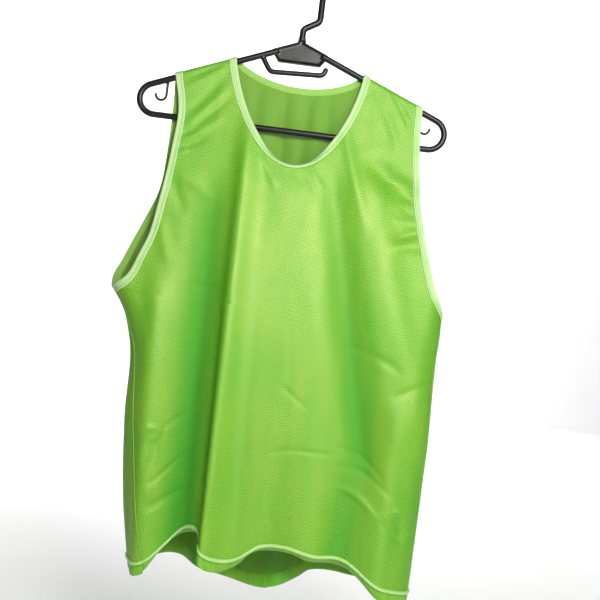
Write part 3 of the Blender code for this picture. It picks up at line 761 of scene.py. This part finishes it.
def make_band(name, lines, points, material, node, closed=True):
    """A band of cloth from points[rib, step], ribs going round its section, and their (w, t)."""
    ribs, steps = points.shape[:2]
    ahead = np.roll(points, -1, axis=1) - points
    if not closed:
        ahead = ahead[:, :-1]
    u = np.cumsum(np.linalg.norm(ahead, axis=-1).mean(axis=0))
    u = np.broadcast_to(np.concatenate([[0], u]), (ribs + 1, steps + (1 if closed else 0)))
    round_it = np.linalg.norm(np.roll(points, -1, axis=0) - points, axis=-1).mean(axis=1)
    v = np.concatenate([[0], np.cumsum(round_it)])[:, None] + np.zeros_like(u)
    lift = np.array([raised(*line.T) for line in lines])
    piece = grid_mesh(name, points, np.stack([u, v], axis=-1), lift, around=True, along=closed)
    face_outwards(piece, cap_ends=not closed)
    return dress(piece, material, [node] if node else [])


def make_neck_binding(material):
    """The ring of tape round the neck, whose free edge tips inwards at the bottom of the front."""
    lines, tips = [], []
    for rib in BINDING_PROFILE:
        line, tip = neck_ring(rib.across - BINDING_WIDTH)
        free = max(0, 1 - rib.across / NECK_ROLL_WIDTH)
        line[:, 1] += NECK_SINK * tip * free
        lines.append(line)
        tips.append(NECK_ROLL * tip * free)
    points = raise_lines(lines, BINDING_PROFILE)
    points[..., 1] += np.array(tips)
    return make_band("neck_binding_tape", lines, points, material, "neck_binding")


def make_armhole_binding(hand, edge, material):
    """The ring of tape round the left or the right armhole."""
    lines = [moved_in(edge, rib.across)[:-1] for rib in BINDING_PROFILE]
    points = raise_lines(lines, BINDING_PROFILE)
    node = f"armhole_binding_{hand}"
    return make_band(f"{node}_tape", lines, points, material, node)


def make_side_seam(hand, armhole, material):
    """The raised seam between the panels, from an armhole's binding to the hem."""
    side = panel_side("front", hand, armhole)
    lowest = side[-SIDE_STEPS, 1]
    side = side[np.argmax(side[:, 1] > lowest - SEAM_TOP):]
    t = np.linspace(side[0, 1] + 1, HEM_LINE, SEAM_STEPS)
    middle = np.stack([np.interp(t, side[:, 1], side[:, 0]), t], axis=1)
    lines = [middle + (rib.across, 0) for rib in SEAM_PROFILE]
    points = raise_lines(lines, SEAM_PROFILE)
    return make_band(f"side_seam_{hand}", lines, points, material, None, closed=False)


def hem_line(face, t):
    """(w, t) along a hem at t, from right to left."""
    ends = own_w(face, np.array([seam_w(t, "right"), seam_w(t, "left")]), t)
    w = np.linspace(*ends, HEM_STEPS)
    ts = np.full(HEM_STEPS, t)
    return np.stack([own_w(face, w, ts), ts], axis=1)


def puckers(start):
    """Small uneven swings along a hem. start says where in their waves they begin."""
    at = np.linspace(0, HEM_LENGTH / PUCKER_WAVE * 2 * math.pi, HEM_STEPS)
    swings = np.sin(at + start) * 0.6 + np.sin(at * 0.61 + 2 * start) * 0.5
    return swings + np.sin(at * 1.73 + start / 2) * 0.4


def make_hem(face, material):
    """The turned edge: a raised stitched line with a plain band below it, a little puckered."""
    tips = FRONT_TIP if face == "front" else BACK_TIP
    pucker = puckers(1.0 if face == "front" else 4.0)
    lines, points = [], []
    for rib in HEM_PROFILE:
        below = max(0, rib.across - HEM_HINGE)
        line = hem_line(face, HEM_LINE + rib.across - below)
        tip = np.radians(read_table(tips, base_x(*line.T)))[:, None]
        start = place(*line.T)
        outside = outward(*line.T)
        down = place(line[:, 0], line[:, 1] + 1) - start
        down /= np.linalg.norm(down, axis=1, keepdims=True)
        if below:
            ahead = down * np.cos(tip) - outside * np.sin(tip)
            outside = outside * np.cos(tip) + down * np.sin(tip)
            start = start + ahead * below
        share = max(0, 1 - abs(rib.across - PUCKER_LINE) / PUCKER_REACH)
        height = rib.height + PUCKER_HEIGHT * share * pucker
        points.append(start + outside * height[:, None])
        lines.append(line)
    points = np.array(points)
    node = f"{face}_hem"
    return make_band(f"{node}_cloth", lines, points, material, node, closed=False)


# ---------------------------------------------------------------- hanger

def arm_drop(x):
    """Drop of an arm's middle line."""
    return ROD / 2 / math.cos(SLOPE) + abs(x) * math.tan(SLOPE)


def round_off(ahead, radius):
    """Closes the selected end of a rod with a dome. ahead is the rod's direction there."""
    for low, high in zip(DOME, DOME[1:]):
        low, high = math.radians(low), math.radians(high)
        step = ahead * radius * (math.sin(high) - math.sin(low))
        bpy.ops.mesh.extrude_region_move(TRANSFORM_OT_translate={"value": step})
        bpy.ops.transform.resize(value=(math.cos(high) / math.cos(low),) * 3)


def add_rod(start, heading, moves, diameter, round_end=False):
    """A rod in the hanger's plane that follows moves such as HOOK_MOVES, from start (x, drop). The
    heading is in degrees, and 90 is upwards.
    """
    x, drop = start
    angle = math.radians(heading)
    bpy.ops.object.select_all(action="DESELECT")
    bpy.ops.mesh.primitive_circle_add(
        vertices=ROD_SIDES, radius=diameter / 2, fill_type="NGON", location=(x, 0, -drop),
        rotation=(math.pi / 2, 0, 0),
    )
    rod = bpy.context.object
    bpy.ops.object.transform_apply(location=True, rotation=True, scale=True)
    turn = Matrix.Rotation(math.pi / 2 - angle, 4, "Y") @ Matrix.Rotation(math.pi / 2, 4, "X")
    middle = Matrix.Translation((x, 0, -drop))
    rod.data.transform(middle @ turn @ middle.inverted())
    bpy.ops.object.mode_set(mode="EDIT")
    bpy.ops.mesh.select_all(action="SELECT")
    for move in moves:
        if move[0] == "run":
            step = Vector((math.cos(angle), 0, math.sin(angle))) * move[1]
            bpy.ops.mesh.extrude_region_move(TRANSFORM_OT_translate={"value": step})
            x, drop = x + step.x, drop - step.z
        else:
            radius, degrees = move[1:]
            side = math.copysign(1, degrees)
            left = Vector((-math.sin(angle), 0, math.cos(angle))) * side
            centre = Vector((x, 0, -drop)) + left * radius
            swing = math.radians(degrees)
            steps = max(3, round(abs(degrees) / BEND_STEP))
            bpy.ops.mesh.spin(steps=steps, angle=swing, center=centre, axis=(0, 1, 0))
            spot = Matrix.Rotation(-swing, 3, "Y") @ (Vector((x, 0, -drop)) - centre) + centre
            x, drop = spot.x, -spot.z
            angle += swing
    if round_end:
        round_off(Vector((math.cos(angle), 0, math.sin(angle))), diameter / 2)
    bpy.ops.object.mode_set(mode="OBJECT")
    return rod


def add_web():
    """The plate under the apex: a wedge with its faces sunk inside a rim."""
    across = ROD / 2 * math.sin(SLOPE)
    up = ROD / 2 * math.cos(SLOPE)
    boss = BOSS_WIDTH / 2
    right = [
        (boss, -BOSS_HEIGHT),
        (boss, boss * math.tan(SLOPE)),
        (WEB_HALF + across, arm_drop(WEB_HALF) - up),
        (WEB_HALF - across, arm_drop(WEB_HALF) + up),
        (WEB_FOOT_HALF, WEB_DROP),
    ]
    outline = right + [(-x, drop) for x, drop in reversed(right)]
    bpy.ops.object.select_all(action="DESELECT")
    bpy.ops.mesh.primitive_circle_add(
        vertices=len(outline), radius=WEB_HALF, fill_type="NGON", rotation=(math.pi / 2, 0, 0),
    )
    web = bpy.context.object
    bpy.ops.object.transform_apply(location=True, rotation=True, scale=True)
    for vertex, (x, drop) in zip(web.data.vertices, outline):
        vertex.co = (x, -WEB_THICKNESS / 2, -drop)
    bpy.ops.object.mode_set(mode="EDIT")
    bpy.ops.mesh.select_all(action="SELECT")
    bpy.ops.mesh.extrude_region_move(TRANSFORM_OT_translate={"value": (0, WEB_THICKNESS, 0)})
    bpy.ops.mesh.select_all(action="SELECT")
    bpy.ops.mesh.normals_make_consistent(inside=False)
    bpy.ops.mesh.select_mode(type="FACE")
    for side in (-1, 1):
        bpy.ops.mesh.select_all(action="DESELECT")
        shape = bmesh.from_edit_mesh(web.data)
        for face in shape.faces:
            flat = abs(face.calc_center_median().y - side * WEB_THICKNESS / 2) < 0.01
            face.select_set(flat and abs(face.normal.y) > 0.9)
        bmesh.update_edit_mesh(web.data)
        bpy.ops.mesh.inset(thickness=WEB_RIM)
        bpy.ops.transform.translate(value=(0, -side * PLATE_RECESS, 0))
    bpy.ops.object.mode_set(mode="OBJECT")
    return web


def add_frame():
    """The arms, end loops and lower bar: one rod from the web's right side round to its left."""
    tip = (BAR_DROP - arm_drop(0)) / math.tan(SLOPE)
    radius = (tip - LOOP_REACH) / (1 / math.tan(SLOPE / 2) - 1)
    centre = tip - radius / math.tan(SLOPE / 2)
    arm_end = centre + radius * math.sin(SLOPE)
    start = WEB_HALF - ARM_OVERLAP
    arm = ("run", (arm_end - start) / math.cos(SLOPE))
    end_loop = ("bend", radius, math.degrees(SLOPE) - 180)
    moves = (arm, end_loop, ("run", 2 * centre), end_loop, arm)
    return add_rod((start, arm_drop(start)), -math.degrees(SLOPE), moves, ROD)


def make_hanger(material, nodes):
    """One moulding: the parts are modelled on each other and fused, with small fillets between."""
    parts = [
        add_frame(),
        add_web(),
        add_rod((0, 0), 90, HOOK_MOVES, HOOK_ROD, round_end=True),
        add_rod(TIE_START, TIE_HEADING, TIE_MOVES, TIE_ROD, round_end=True),
    ]
    top = arm_drop(STRAP_X)
    for side in (-1, 1):
        moves = (("run", STRAP_DROP - top), ("bend", STRAP_RADIUS, side * 180))
        parts.append(add_rod((side * STRAP_X, top), -90, moves, STRAP_ROD, round_end=True))
    bpy.ops.object.select_all(action="DESELECT")
    for part in parts:
        face_outwards(part)
        part.select_set(True)
    hanger = parts[0]
    bpy.context.view_layer.objects.active = hanger
    bpy.ops.object.join()
    fuse = hanger.modifiers.new("fuse", "REMESH")
    fuse.mode = "VOXEL"
    fuse.voxel_size = FUSE_VOXEL
    bpy.ops.object.modifier_apply(modifier=fuse.name)
    soften = hanger.modifiers.new("soften", "SMOOTH")
    soften.factor = 0.5
    soften.iterations = 4
    bpy.ops.object.modifier_apply(modifier=soften.name)
    hanger.name = hanger.data.name = "hanger_moulding"
    hanger.data.transform(Matrix.Scale(MM, 4) @ Matrix.Translation((0, 0, -HOOK_REACH)))
    hanger.data.shade_smooth()
    return dress(hanger, material, nodes)


# ---------------------------------------------------------------- materials

class Value:
    """A socket that Python's operators work on, each adding a Math node."""

    def __init__(self, finish, socket):
        self.finish = finish
        self.socket = socket

    def maths(self, operation, *others):
        return self.finish.maths(operation, self, *others)

    def __add__(self, other):
        return self.maths("ADD", other)

    __radd__ = __add__

    def __sub__(self, other):
        return self.maths("SUBTRACT", other)

    def __rsub__(self, other):
        return self.finish.maths("SUBTRACT", other, self)

    def __mul__(self, other):
        return self.maths("MULTIPLY", other)

    __rmul__ = __mul__

    def __truediv__(self, other):
        return self.maths("DIVIDE", other)

    def __pow__(self, other):
        return self.maths("POWER", other)


class Finish:
    """A material in the making."""

    def __init__(self, name):
        self.material = bpy.data.materials.new(name)
        self.material.use_nodes = True
        self.tree = self.material.node_tree
        self.shader = self.tree.nodes["Principled BSDF"]
        self.output = self.tree.nodes["Material Output"]

    def node(self, kind, settings, inputs, output=0):
        """Adds a node, and gives its output to work on."""
        node = self.tree.nodes.new(kind)
        for key, value in settings.items():
            setattr(node, key, value)
        for key, value in inputs.items():
            self.feed(node.inputs[key], value)
        return Value(self, node.outputs[output])

    def maths(self, operation, *values):
        return self.node("ShaderNodeMath", {"operation": operation}, dict(enumerate(values)))

    def feed(self, socket, value):
        if isinstance(value, Value):
            self.tree.links.new(value.socket, socket)
        else:
            socket.default_value = value

    def put(self, **inputs):
        """Feeds the Principled shader. Socket names are written with _ for a space."""
        for key, value in inputs.items():
            self.feed(self.shader.inputs[key.replace("_", " ")], value)

    def along(self):
        """Distance along and across the cloth, in mm."""
        layer = self.node("ShaderNodeUVMap", {"uv_map": "cloth"}, {}, "UV")
        spots = self.node("ShaderNodeSeparateXYZ", {}, {0: layer}, "X").socket.node
        return tuple(Value(self, spots.outputs[axis]) * 1000 for axis in ("X", "Y"))

    def place(self):
        return self.node("ShaderNodeTexCoord", {}, {}, "Object")

    def sunk(self):
        """1 at the bottom of a large fold's trough, and 0 on a ridge."""
        # the materials paint shade into the troughs by this, and roughen them
        return 1 - self.node("ShaderNodeAttribute", {"attribute_name": "folds"}, {}, "Fac")

    def noise(self, vector, scale, detail=2.0, roughness=0.5):
        return self.node("ShaderNodeTexNoise", {}, {
            "Vector": vector, "Scale": scale, "Detail": detail, "Roughness": roughness,
        }, "Fac")

    def mix(self, factor, first, second):
        return self.node("ShaderNodeMix", {"data_type": "RGBA"}, {
            0: factor, 6: first, 7: second,
        }, 2)

    def wave(self, value):
        """Swings from 0 to 1 and back as value grows by 1."""
        return (value * (2 * math.pi)).maths("COSINE") * -0.5 + 0.5

    def streaks(self, u, v, fineness):
        """Soft streaks that run down the cloth."""
        spots = self.node("ShaderNodeCombineXYZ", {}, {0: u * fineness, 1: v * (fineness / 9)})
        return self.noise(spots, 1.0, 3.0)

    def step(self, value, low, high):
        """0 below low and 1 above high."""
        return self.node("ShaderNodeMapRange", {"interpolation_type": "SMOOTHSTEP"}, {
            "Value": value, "From Min": low, "From Max": high,
        })

    def strip(self, value, strip):
        """1 inside a Strip, and 0 outside it."""
        past = self.step(value, strip.fading, strip.end)
        return self.step(value, strip.start, strip.full) * (1 - past)

    def bump(self, height, strength, distance):
        return self.node("ShaderNodeBump", {}, {
            "Height": height, "Strength": strength, "Distance": distance,
        }, "Normal")

    def let_light_through(self, share, colour):
        """Mixes in a Translucent shader, so that light reaches the other side of the cloth."""
        glow = self.node("ShaderNodeBsdfTranslucent", {}, {"Color": colour}, "BSDF")
        solid = Value(self, self.shader.outputs[0])
        return self.show(self.node("ShaderNodeMixShader", {}, {0: share, 1: solid, 2: glow}))

    def open_up(self, cover, shaded):
        """Shows what is behind where cover is 0."""
        clear = self.node("ShaderNodeBsdfTransparent", {}, {}, "BSDF")
        return self.show(self.node("ShaderNodeMixShader", {}, {0: cover, 1: clear, 2: shaded}))

    def show(self, shaded):
        self.feed(self.output.inputs["Surface"], shaded)
        return shaded


HOLE_ACROSS = 2.8                  # spacing of the mesh's holes along a row
HOLE_DOWN = 4.4                    # and of every second row
HOLE_RADIUS = 0.68
HOLE_SOFT = 0.35                   # half the width of a hole's soft edge
DRIFT_ACROSS = 2.4                 # how far the holes wander from a true grid
DRIFT_DOWN = 1.8
SHUT_OUTSIDE = 0.55                # how much of a hole the yarn across it hides
SHUT_INSIDE = 0.75
HEM_KNIT = (1.3, 1.5)              # size of the hem's knit along and round it
HEM_STITCH_LENGTH = 2.6
TAPE_RIB = 1.1
TAPE_STITCH_LENGTH = 2.4

# Strips along a band, in mm round its section from its profile's first rib
Strip = namedtuple("Strip", "start full fading end")
HEM_STITCHES = Strip(4.8, 5.4, 6.0, 6.6)
HEM_HIGHLIGHT_END = (5.0, 6.8)           # where the highlight painted on the hem's rim fades out
# where a shadow is painted below the hem's rim
HEM_SHADOW_LINE = Strip(6.6, 7.6, 8.6, 10.5)
TAPE_GROOVE = Strip(4.9, 5.6, 6.2, 7.0)
TAPE_STITCHES = Strip(7.8, 8.2, 8.7, 9.2)
TAPE_INSIDE_START = (11.6, 12.4)   # where the tape's outside gives way to its inside

GREEN = (0.150, 0.50, 0.020, 1)
GREEN_WARM = (0.26, 0.55, 0.026, 1)
# of the mesh's holes, and of the shadow painted below the hem's rim
GREEN_HOLE_AND_SHADOW = (0.050, 0.36, 0.020, 1)
# shade painted into the troughs of the folds, and the green thread of the tape's stitching
GREEN_SHADE_AND_THREAD = (0.018, 0.36, 0.005, 1)
GREEN_INSIDE_SHADE = (0.115, 0.25, 0.006, 1)     # shade painted onto the mesh's inside
# highlight painted on the hem's raised rim
GREEN_RIM_HIGHLIGHT = (0.60, 0.92, 0.34, 1)
SATIN = (1.0, 0.87, 0.52, 1)              # tint of the mesh's gloss
HEM_SHEEN = (0.85, 1.0, 0.6, 1)
TAPE = (0.54, 0.76, 0.36, 1)
TAPE_SHADE = (0.40, 0.66, 0.20, 1)
TAPE_INSIDE = (0.30, 0.58, 0.10, 1)
BLACK = (0.006, 0.006, 0.007, 1)
GREY = (0.020, 0.020, 0.023, 1)
PAPER = (0.90, 0.90, 0.90, 1)
PAPER_PALE = (0.94, 0.94, 0.94, 1)


def threads(finish, u, v):
    """1 on the threads of the mesh and 0 in its holes, which are staggered row by row."""
    far = []
    for shift in (0, 0.5):
        x = (u / HOLE_ACROSS + shift).maths("FRACT") - 0.5
        y = (v / HOLE_DOWN + shift).maths("FRACT") - 0.5
        far.append(((x * HOLE_ACROSS) ** 2 + (y * HOLE_DOWN) ** 2).maths("SQRT"))
    hole = far[0].maths("MINIMUM", far[1])
    return finish.step(hole, HOLE_RADIUS - HOLE_SOFT, HOLE_RADIUS + HOLE_SOFT)


def mesh_material(inside):
    """Knitted mesh: holes between threads, a little uneven all over. It is satin outside and
    duller inside.
    """
    finish = Finish("bib_mesh_inside" if inside else "bib_mesh")
    u, v = finish.along()
    where = finish.place()
    streak = finish.streaks(u, v, 0.06)
    u = u + (finish.noise(where, 230) - 0.5) * DRIFT_ACROSS
    v = v + (finish.noise(where, 310) - 0.5) * DRIFT_DOWN
    thread = threads(finish, u, v)
    knit = finish.wave(v / (HOLE_DOWN / 2) + 0.25)
    sunk = finish.sunk()
    blotch = finish.noise(where, 9, 3.0) * 0.5 + streak * 0.5
    colour = finish.mix(finish.step(blotch, 0.35, 0.65), GREEN, GREEN_WARM)
    # shade painted into the troughs of the large folds
    colour = finish.mix(sunk, colour, GREEN_SHADE_AND_THREAD)
    colour = finish.mix(thread * (knit * 0.3 + 0.45) + 0.25, GREEN_HOLE_AND_SHADOW, colour)
    if inside:
        # shade painted onto the inside of the bib, heavier along some streaks
        colour = finish.mix(finish.step(streak, 0.15, 0.85) * 0.45 + 0.4, colour, GREEN_INSIDE_SHADE)
    finish.put(
        Base_Color=colour,
        Roughness=finish.noise(where, 60) * 0.10 + 0.47 + sunk * 0.3,
        Specular_IOR_Level=0.2 if inside else 1.0,
        Specular_Tint=SATIN,
        IOR=1.6,
        Normal=finish.bump(thread * (0.6 + knit * 0.4), 0.18, 0.0003),
    )
    shaded = finish.let_light_through(0.10, GREEN)
    shut = SHUT_INSIDE if inside else SHUT_OUTSIDE
    finish.open_up(thread * (1 - shut) + shut, shaded)
    return finish.material


def hem_material():
    """The same mesh, turned over and stitched through, so that nothing shows behind it."""
    finish = Finish("bib_hem")
    u, v = finish.along()
    knit = finish.wave(u / HEM_KNIT[0]) * finish.wave(v / HEM_KNIT[1])
    # the raised rim above the stitching, where a highlight is painted
    rim = 1 - finish.step(v, *HEM_HIGHLIGHT_END)
    stitch = finish.wave(u / HEM_STITCH_LENGTH) * finish.strip(v, HEM_STITCHES)
    streak = finish.streaks(u, v, 0.18)
    colour = finish.mix(finish.step(streak, 0.2, 0.8), GREEN, GREEN_WARM)
    # shade painted into the troughs of the large folds, more lightly
    colour = finish.mix(finish.sunk() * 0.4, colour, GREEN_SHADE_AND_THREAD)
    # shadow painted in the line below the rim
    colour = finish.mix(finish.strip(v, HEM_SHADOW_LINE) * 0.5, colour, GREEN_HOLE_AND_SHADOW)
    colour = finish.mix(rim * 0.75, colour, GREEN_RIM_HIGHLIGHT)
    finish.put(
        Base_Color=colour,
        Roughness=0.5,
        Normal=finish.bump(knit + streak + stitch, 0.5, 0.0005),
        Sheen_Weight=0.3,
        Sheen_Roughness=0.4,
        Sheen_Tint=HEM_SHEEN,
    )
    finish.let_light_through(0.15, GREEN)
    return finish.material


def tape_material():
    """Knitted tape, pale outside and green where it faces into the bib."""
    finish = Finish("bib_tape")
    u, v = finish.along()
    where = finish.place()
    patches = finish.noise(where, 34, 3.0)
    seam = finish.strip(v, TAPE_STITCHES)
    stitch = finish.wave(u / TAPE_STITCH_LENGTH)
    colour = finish.mix(finish.step(patches, 0.4, 0.75) * 0.6, TAPE, TAPE_SHADE)
    colour = finish.mix(finish.strip(v, TAPE_GROOVE) * 0.75, colour, TAPE_SHADE)
    colour = finish.mix(seam * (0.75 - stitch * 0.6), colour, GREEN_SHADE_AND_THREAD)
    colour = finish.mix(finish.step(v, *TAPE_INSIDE_START), colour, TAPE_INSIDE)
    weave = finish.wave(u / TAPE_RIB) * 0.6 + finish.noise(where, 420) * 0.6 + seam * stitch
    finish.put(
        Base_Color=colour,
        Roughness=0.72,
        Normal=finish.bump(weave, 0.5, 0.0005),
        Sheen_Weight=0.25,
        Sheen_Roughness=0.5,
    )
    finish.let_light_through(0.12, TAPE_SHADE)
    return finish.material


def plastic_material():
    """Black moulded plastic, with the fine grain of its mould and a little wear."""
    finish = Finish("hanger_plastic_moulded")
    where = finish.place()
    worn = finish.step(finish.noise(where, 70, 4.0, 0.6), 0.56, 0.75)
    grain = finish.noise(where, 900)
    finish.put(
        Base_Color=finish.mix(worn * 0.5, BLACK, GREY),
        Roughness=0.30 + worn * 0.15 + grain * 0.08,
        Normal=finish.bump(grain + finish.noise(where, 45) * 3, 0.12, 0.0004),
        Specular_IOR_Level=0.35,
    )
    return finish.material


# ---------------------------------------------------------------- studio

CAMERA_TARGET = (0.0399, 0.0, -0.440)
CAMERA_YAW = 2.0                   # degrees, turned to the right
CAMERA_ROLL = 7.0                  # the picture is tilted
CAMERA_DISTANCE = 1.25
VIEW_WIDTH = 0.8106                # of what the picture takes in at the target
SENSOR = 36.0
WORLD_LIGHT = 0.14

Lamp = namedtuple("Lamp", "name spot target size power colour")
LAMPS = (
    Lamp("key", (0.24, -1.2, 0.03), (0.02, 0, -0.35), 0.32, 15, (1.0, 0.99, 0.95)),
    Lamp("fill", (-0.5, -1.6, -1.2), (0, 0, -0.75), 0.8, 3, (0.96, 1.0, 0.97)),
    Lamp("side", (1.0, -1.3, -0.1), (0.15, 0, -0.35), 0.5, 9, (1.0, 1.0, 0.97)),
    Lamp("paper", (0, 2.2, 2.0), (0, 4.4, -0.4), 2.5, 160, (1.0, 1.0, 1.0)),     # for the backdrop
)
Sheet = namedtuple("Sheet", "name spot turn")
SHEETS = (Sheet("floor", (0, 2, -1.05), 0), Sheet("backdrop", (0, 4.5, 1), math.pi / 2))
SHEET_SIZE = 12


def add_camera():
    lens = bpy.data.cameras.new("camera")
    lens.sensor_width = SENSOR
    lens.lens = SENSOR * CAMERA_DISTANCE / VIEW_WIDTH
    camera = bpy.data.objects.new("camera", lens)
    bpy.context.collection.objects.link(camera)
    yaw = math.radians(CAMERA_YAW)
    forward = Vector((math.sin(yaw), math.cos(yaw), 0))
    right = Vector((math.cos(yaw), -math.sin(yaw), 0))
    turn = Matrix((right, Vector((0, 0, 1)), -forward)).transposed()
    turn = turn @ Matrix.Rotation(math.radians(CAMERA_ROLL), 3, "Z")
    spot = Vector(CAMERA_TARGET) - forward * CAMERA_DISTANCE
    camera.matrix_world = Matrix.Translation(spot) @ turn.to_4x4()
    bpy.context.scene.camera = camera


def add_lamp(lamp):
    light = bpy.data.lights.new(lamp.name, "AREA")
    light.shape = "DISK"
    light.size = lamp.size
    light.energy = lamp.power
    light.color = lamp.colour
    holder = bpy.data.objects.new(lamp.name, light)
    bpy.context.collection.objects.link(holder)
    holder.location = lamp.spot
    ahead = Vector(lamp.target) - Vector(lamp.spot)
    holder.rotation_euler = ahead.to_track_quat("-Z", "Y").to_euler()


def add_world():
    bpy.context.scene.view_settings.view_transform = "Standard"
    world = bpy.data.worlds.new("studio")
    bpy.context.scene.world = world
    world.use_nodes = True
    background = world.node_tree.nodes["Background"]
    background.inputs["Color"].default_value = (1, 1, 1, 1)
    background.inputs["Strength"].default_value = WORLD_LIGHT


def paper_material():
    finish = Finish("studio_paper")
    speck = finish.noise(finish.place(), 3)
    finish.put(Base_Color=finish.mix(speck, PAPER, PAPER_PALE), Roughness=0.9)
    return finish.material


def add_paper(sheet, material):
    bpy.ops.object.select_all(action="DESELECT")
    bpy.ops.mesh.primitive_plane_add(size=SHEET_SIZE, location=sheet.spot, rotation=(sheet.turn, 0, 0))
    paper = bpy.context.object
    paper.name = sheet.name
    bpy.ops.object.transform_apply(location=True, rotation=True, scale=True)
    paper.data.materials.append(material)


def add_studio():
    """A plain paper floor and backdrop, and soft lamps."""
    add_world()
    for lamp in LAMPS:
        add_lamp(lamp)
    material = paper_material()
    for sheet in SHEETS:
        add_paper(sheet, material)


def main():
    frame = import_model()
    add_camera()
    mesh = mesh_material(inside=False), mesh_material(inside=True)
    hem, tape, plastic = hem_material(), tape_material(), plastic_material()
    armholes = {"left": edge_points(ARMHOLE_LEFT), "right": edge_points(ARMHOLE_RIGHT)}
    front = make_panel("front", FRONT_NECK, armholes, mesh)
    back = make_panel("back", BACK_NECK, armholes, mesh)
    neck = make_neck_binding(tape)
    left, right = (make_armhole_binding(hand, edge, tape) for hand, edge in armholes.items())
    left_seam, right_seam = (make_side_seam(hand, edge, mesh[0]) for hand, edge in armholes.items())
    front_hem, back_hem = make_hem("front", hem), make_hem("back", hem)
    hanger = make_hanger(plastic, [node for node in frame["nodes"] if node.startswith("hanger_")])
    add_studio()


main()
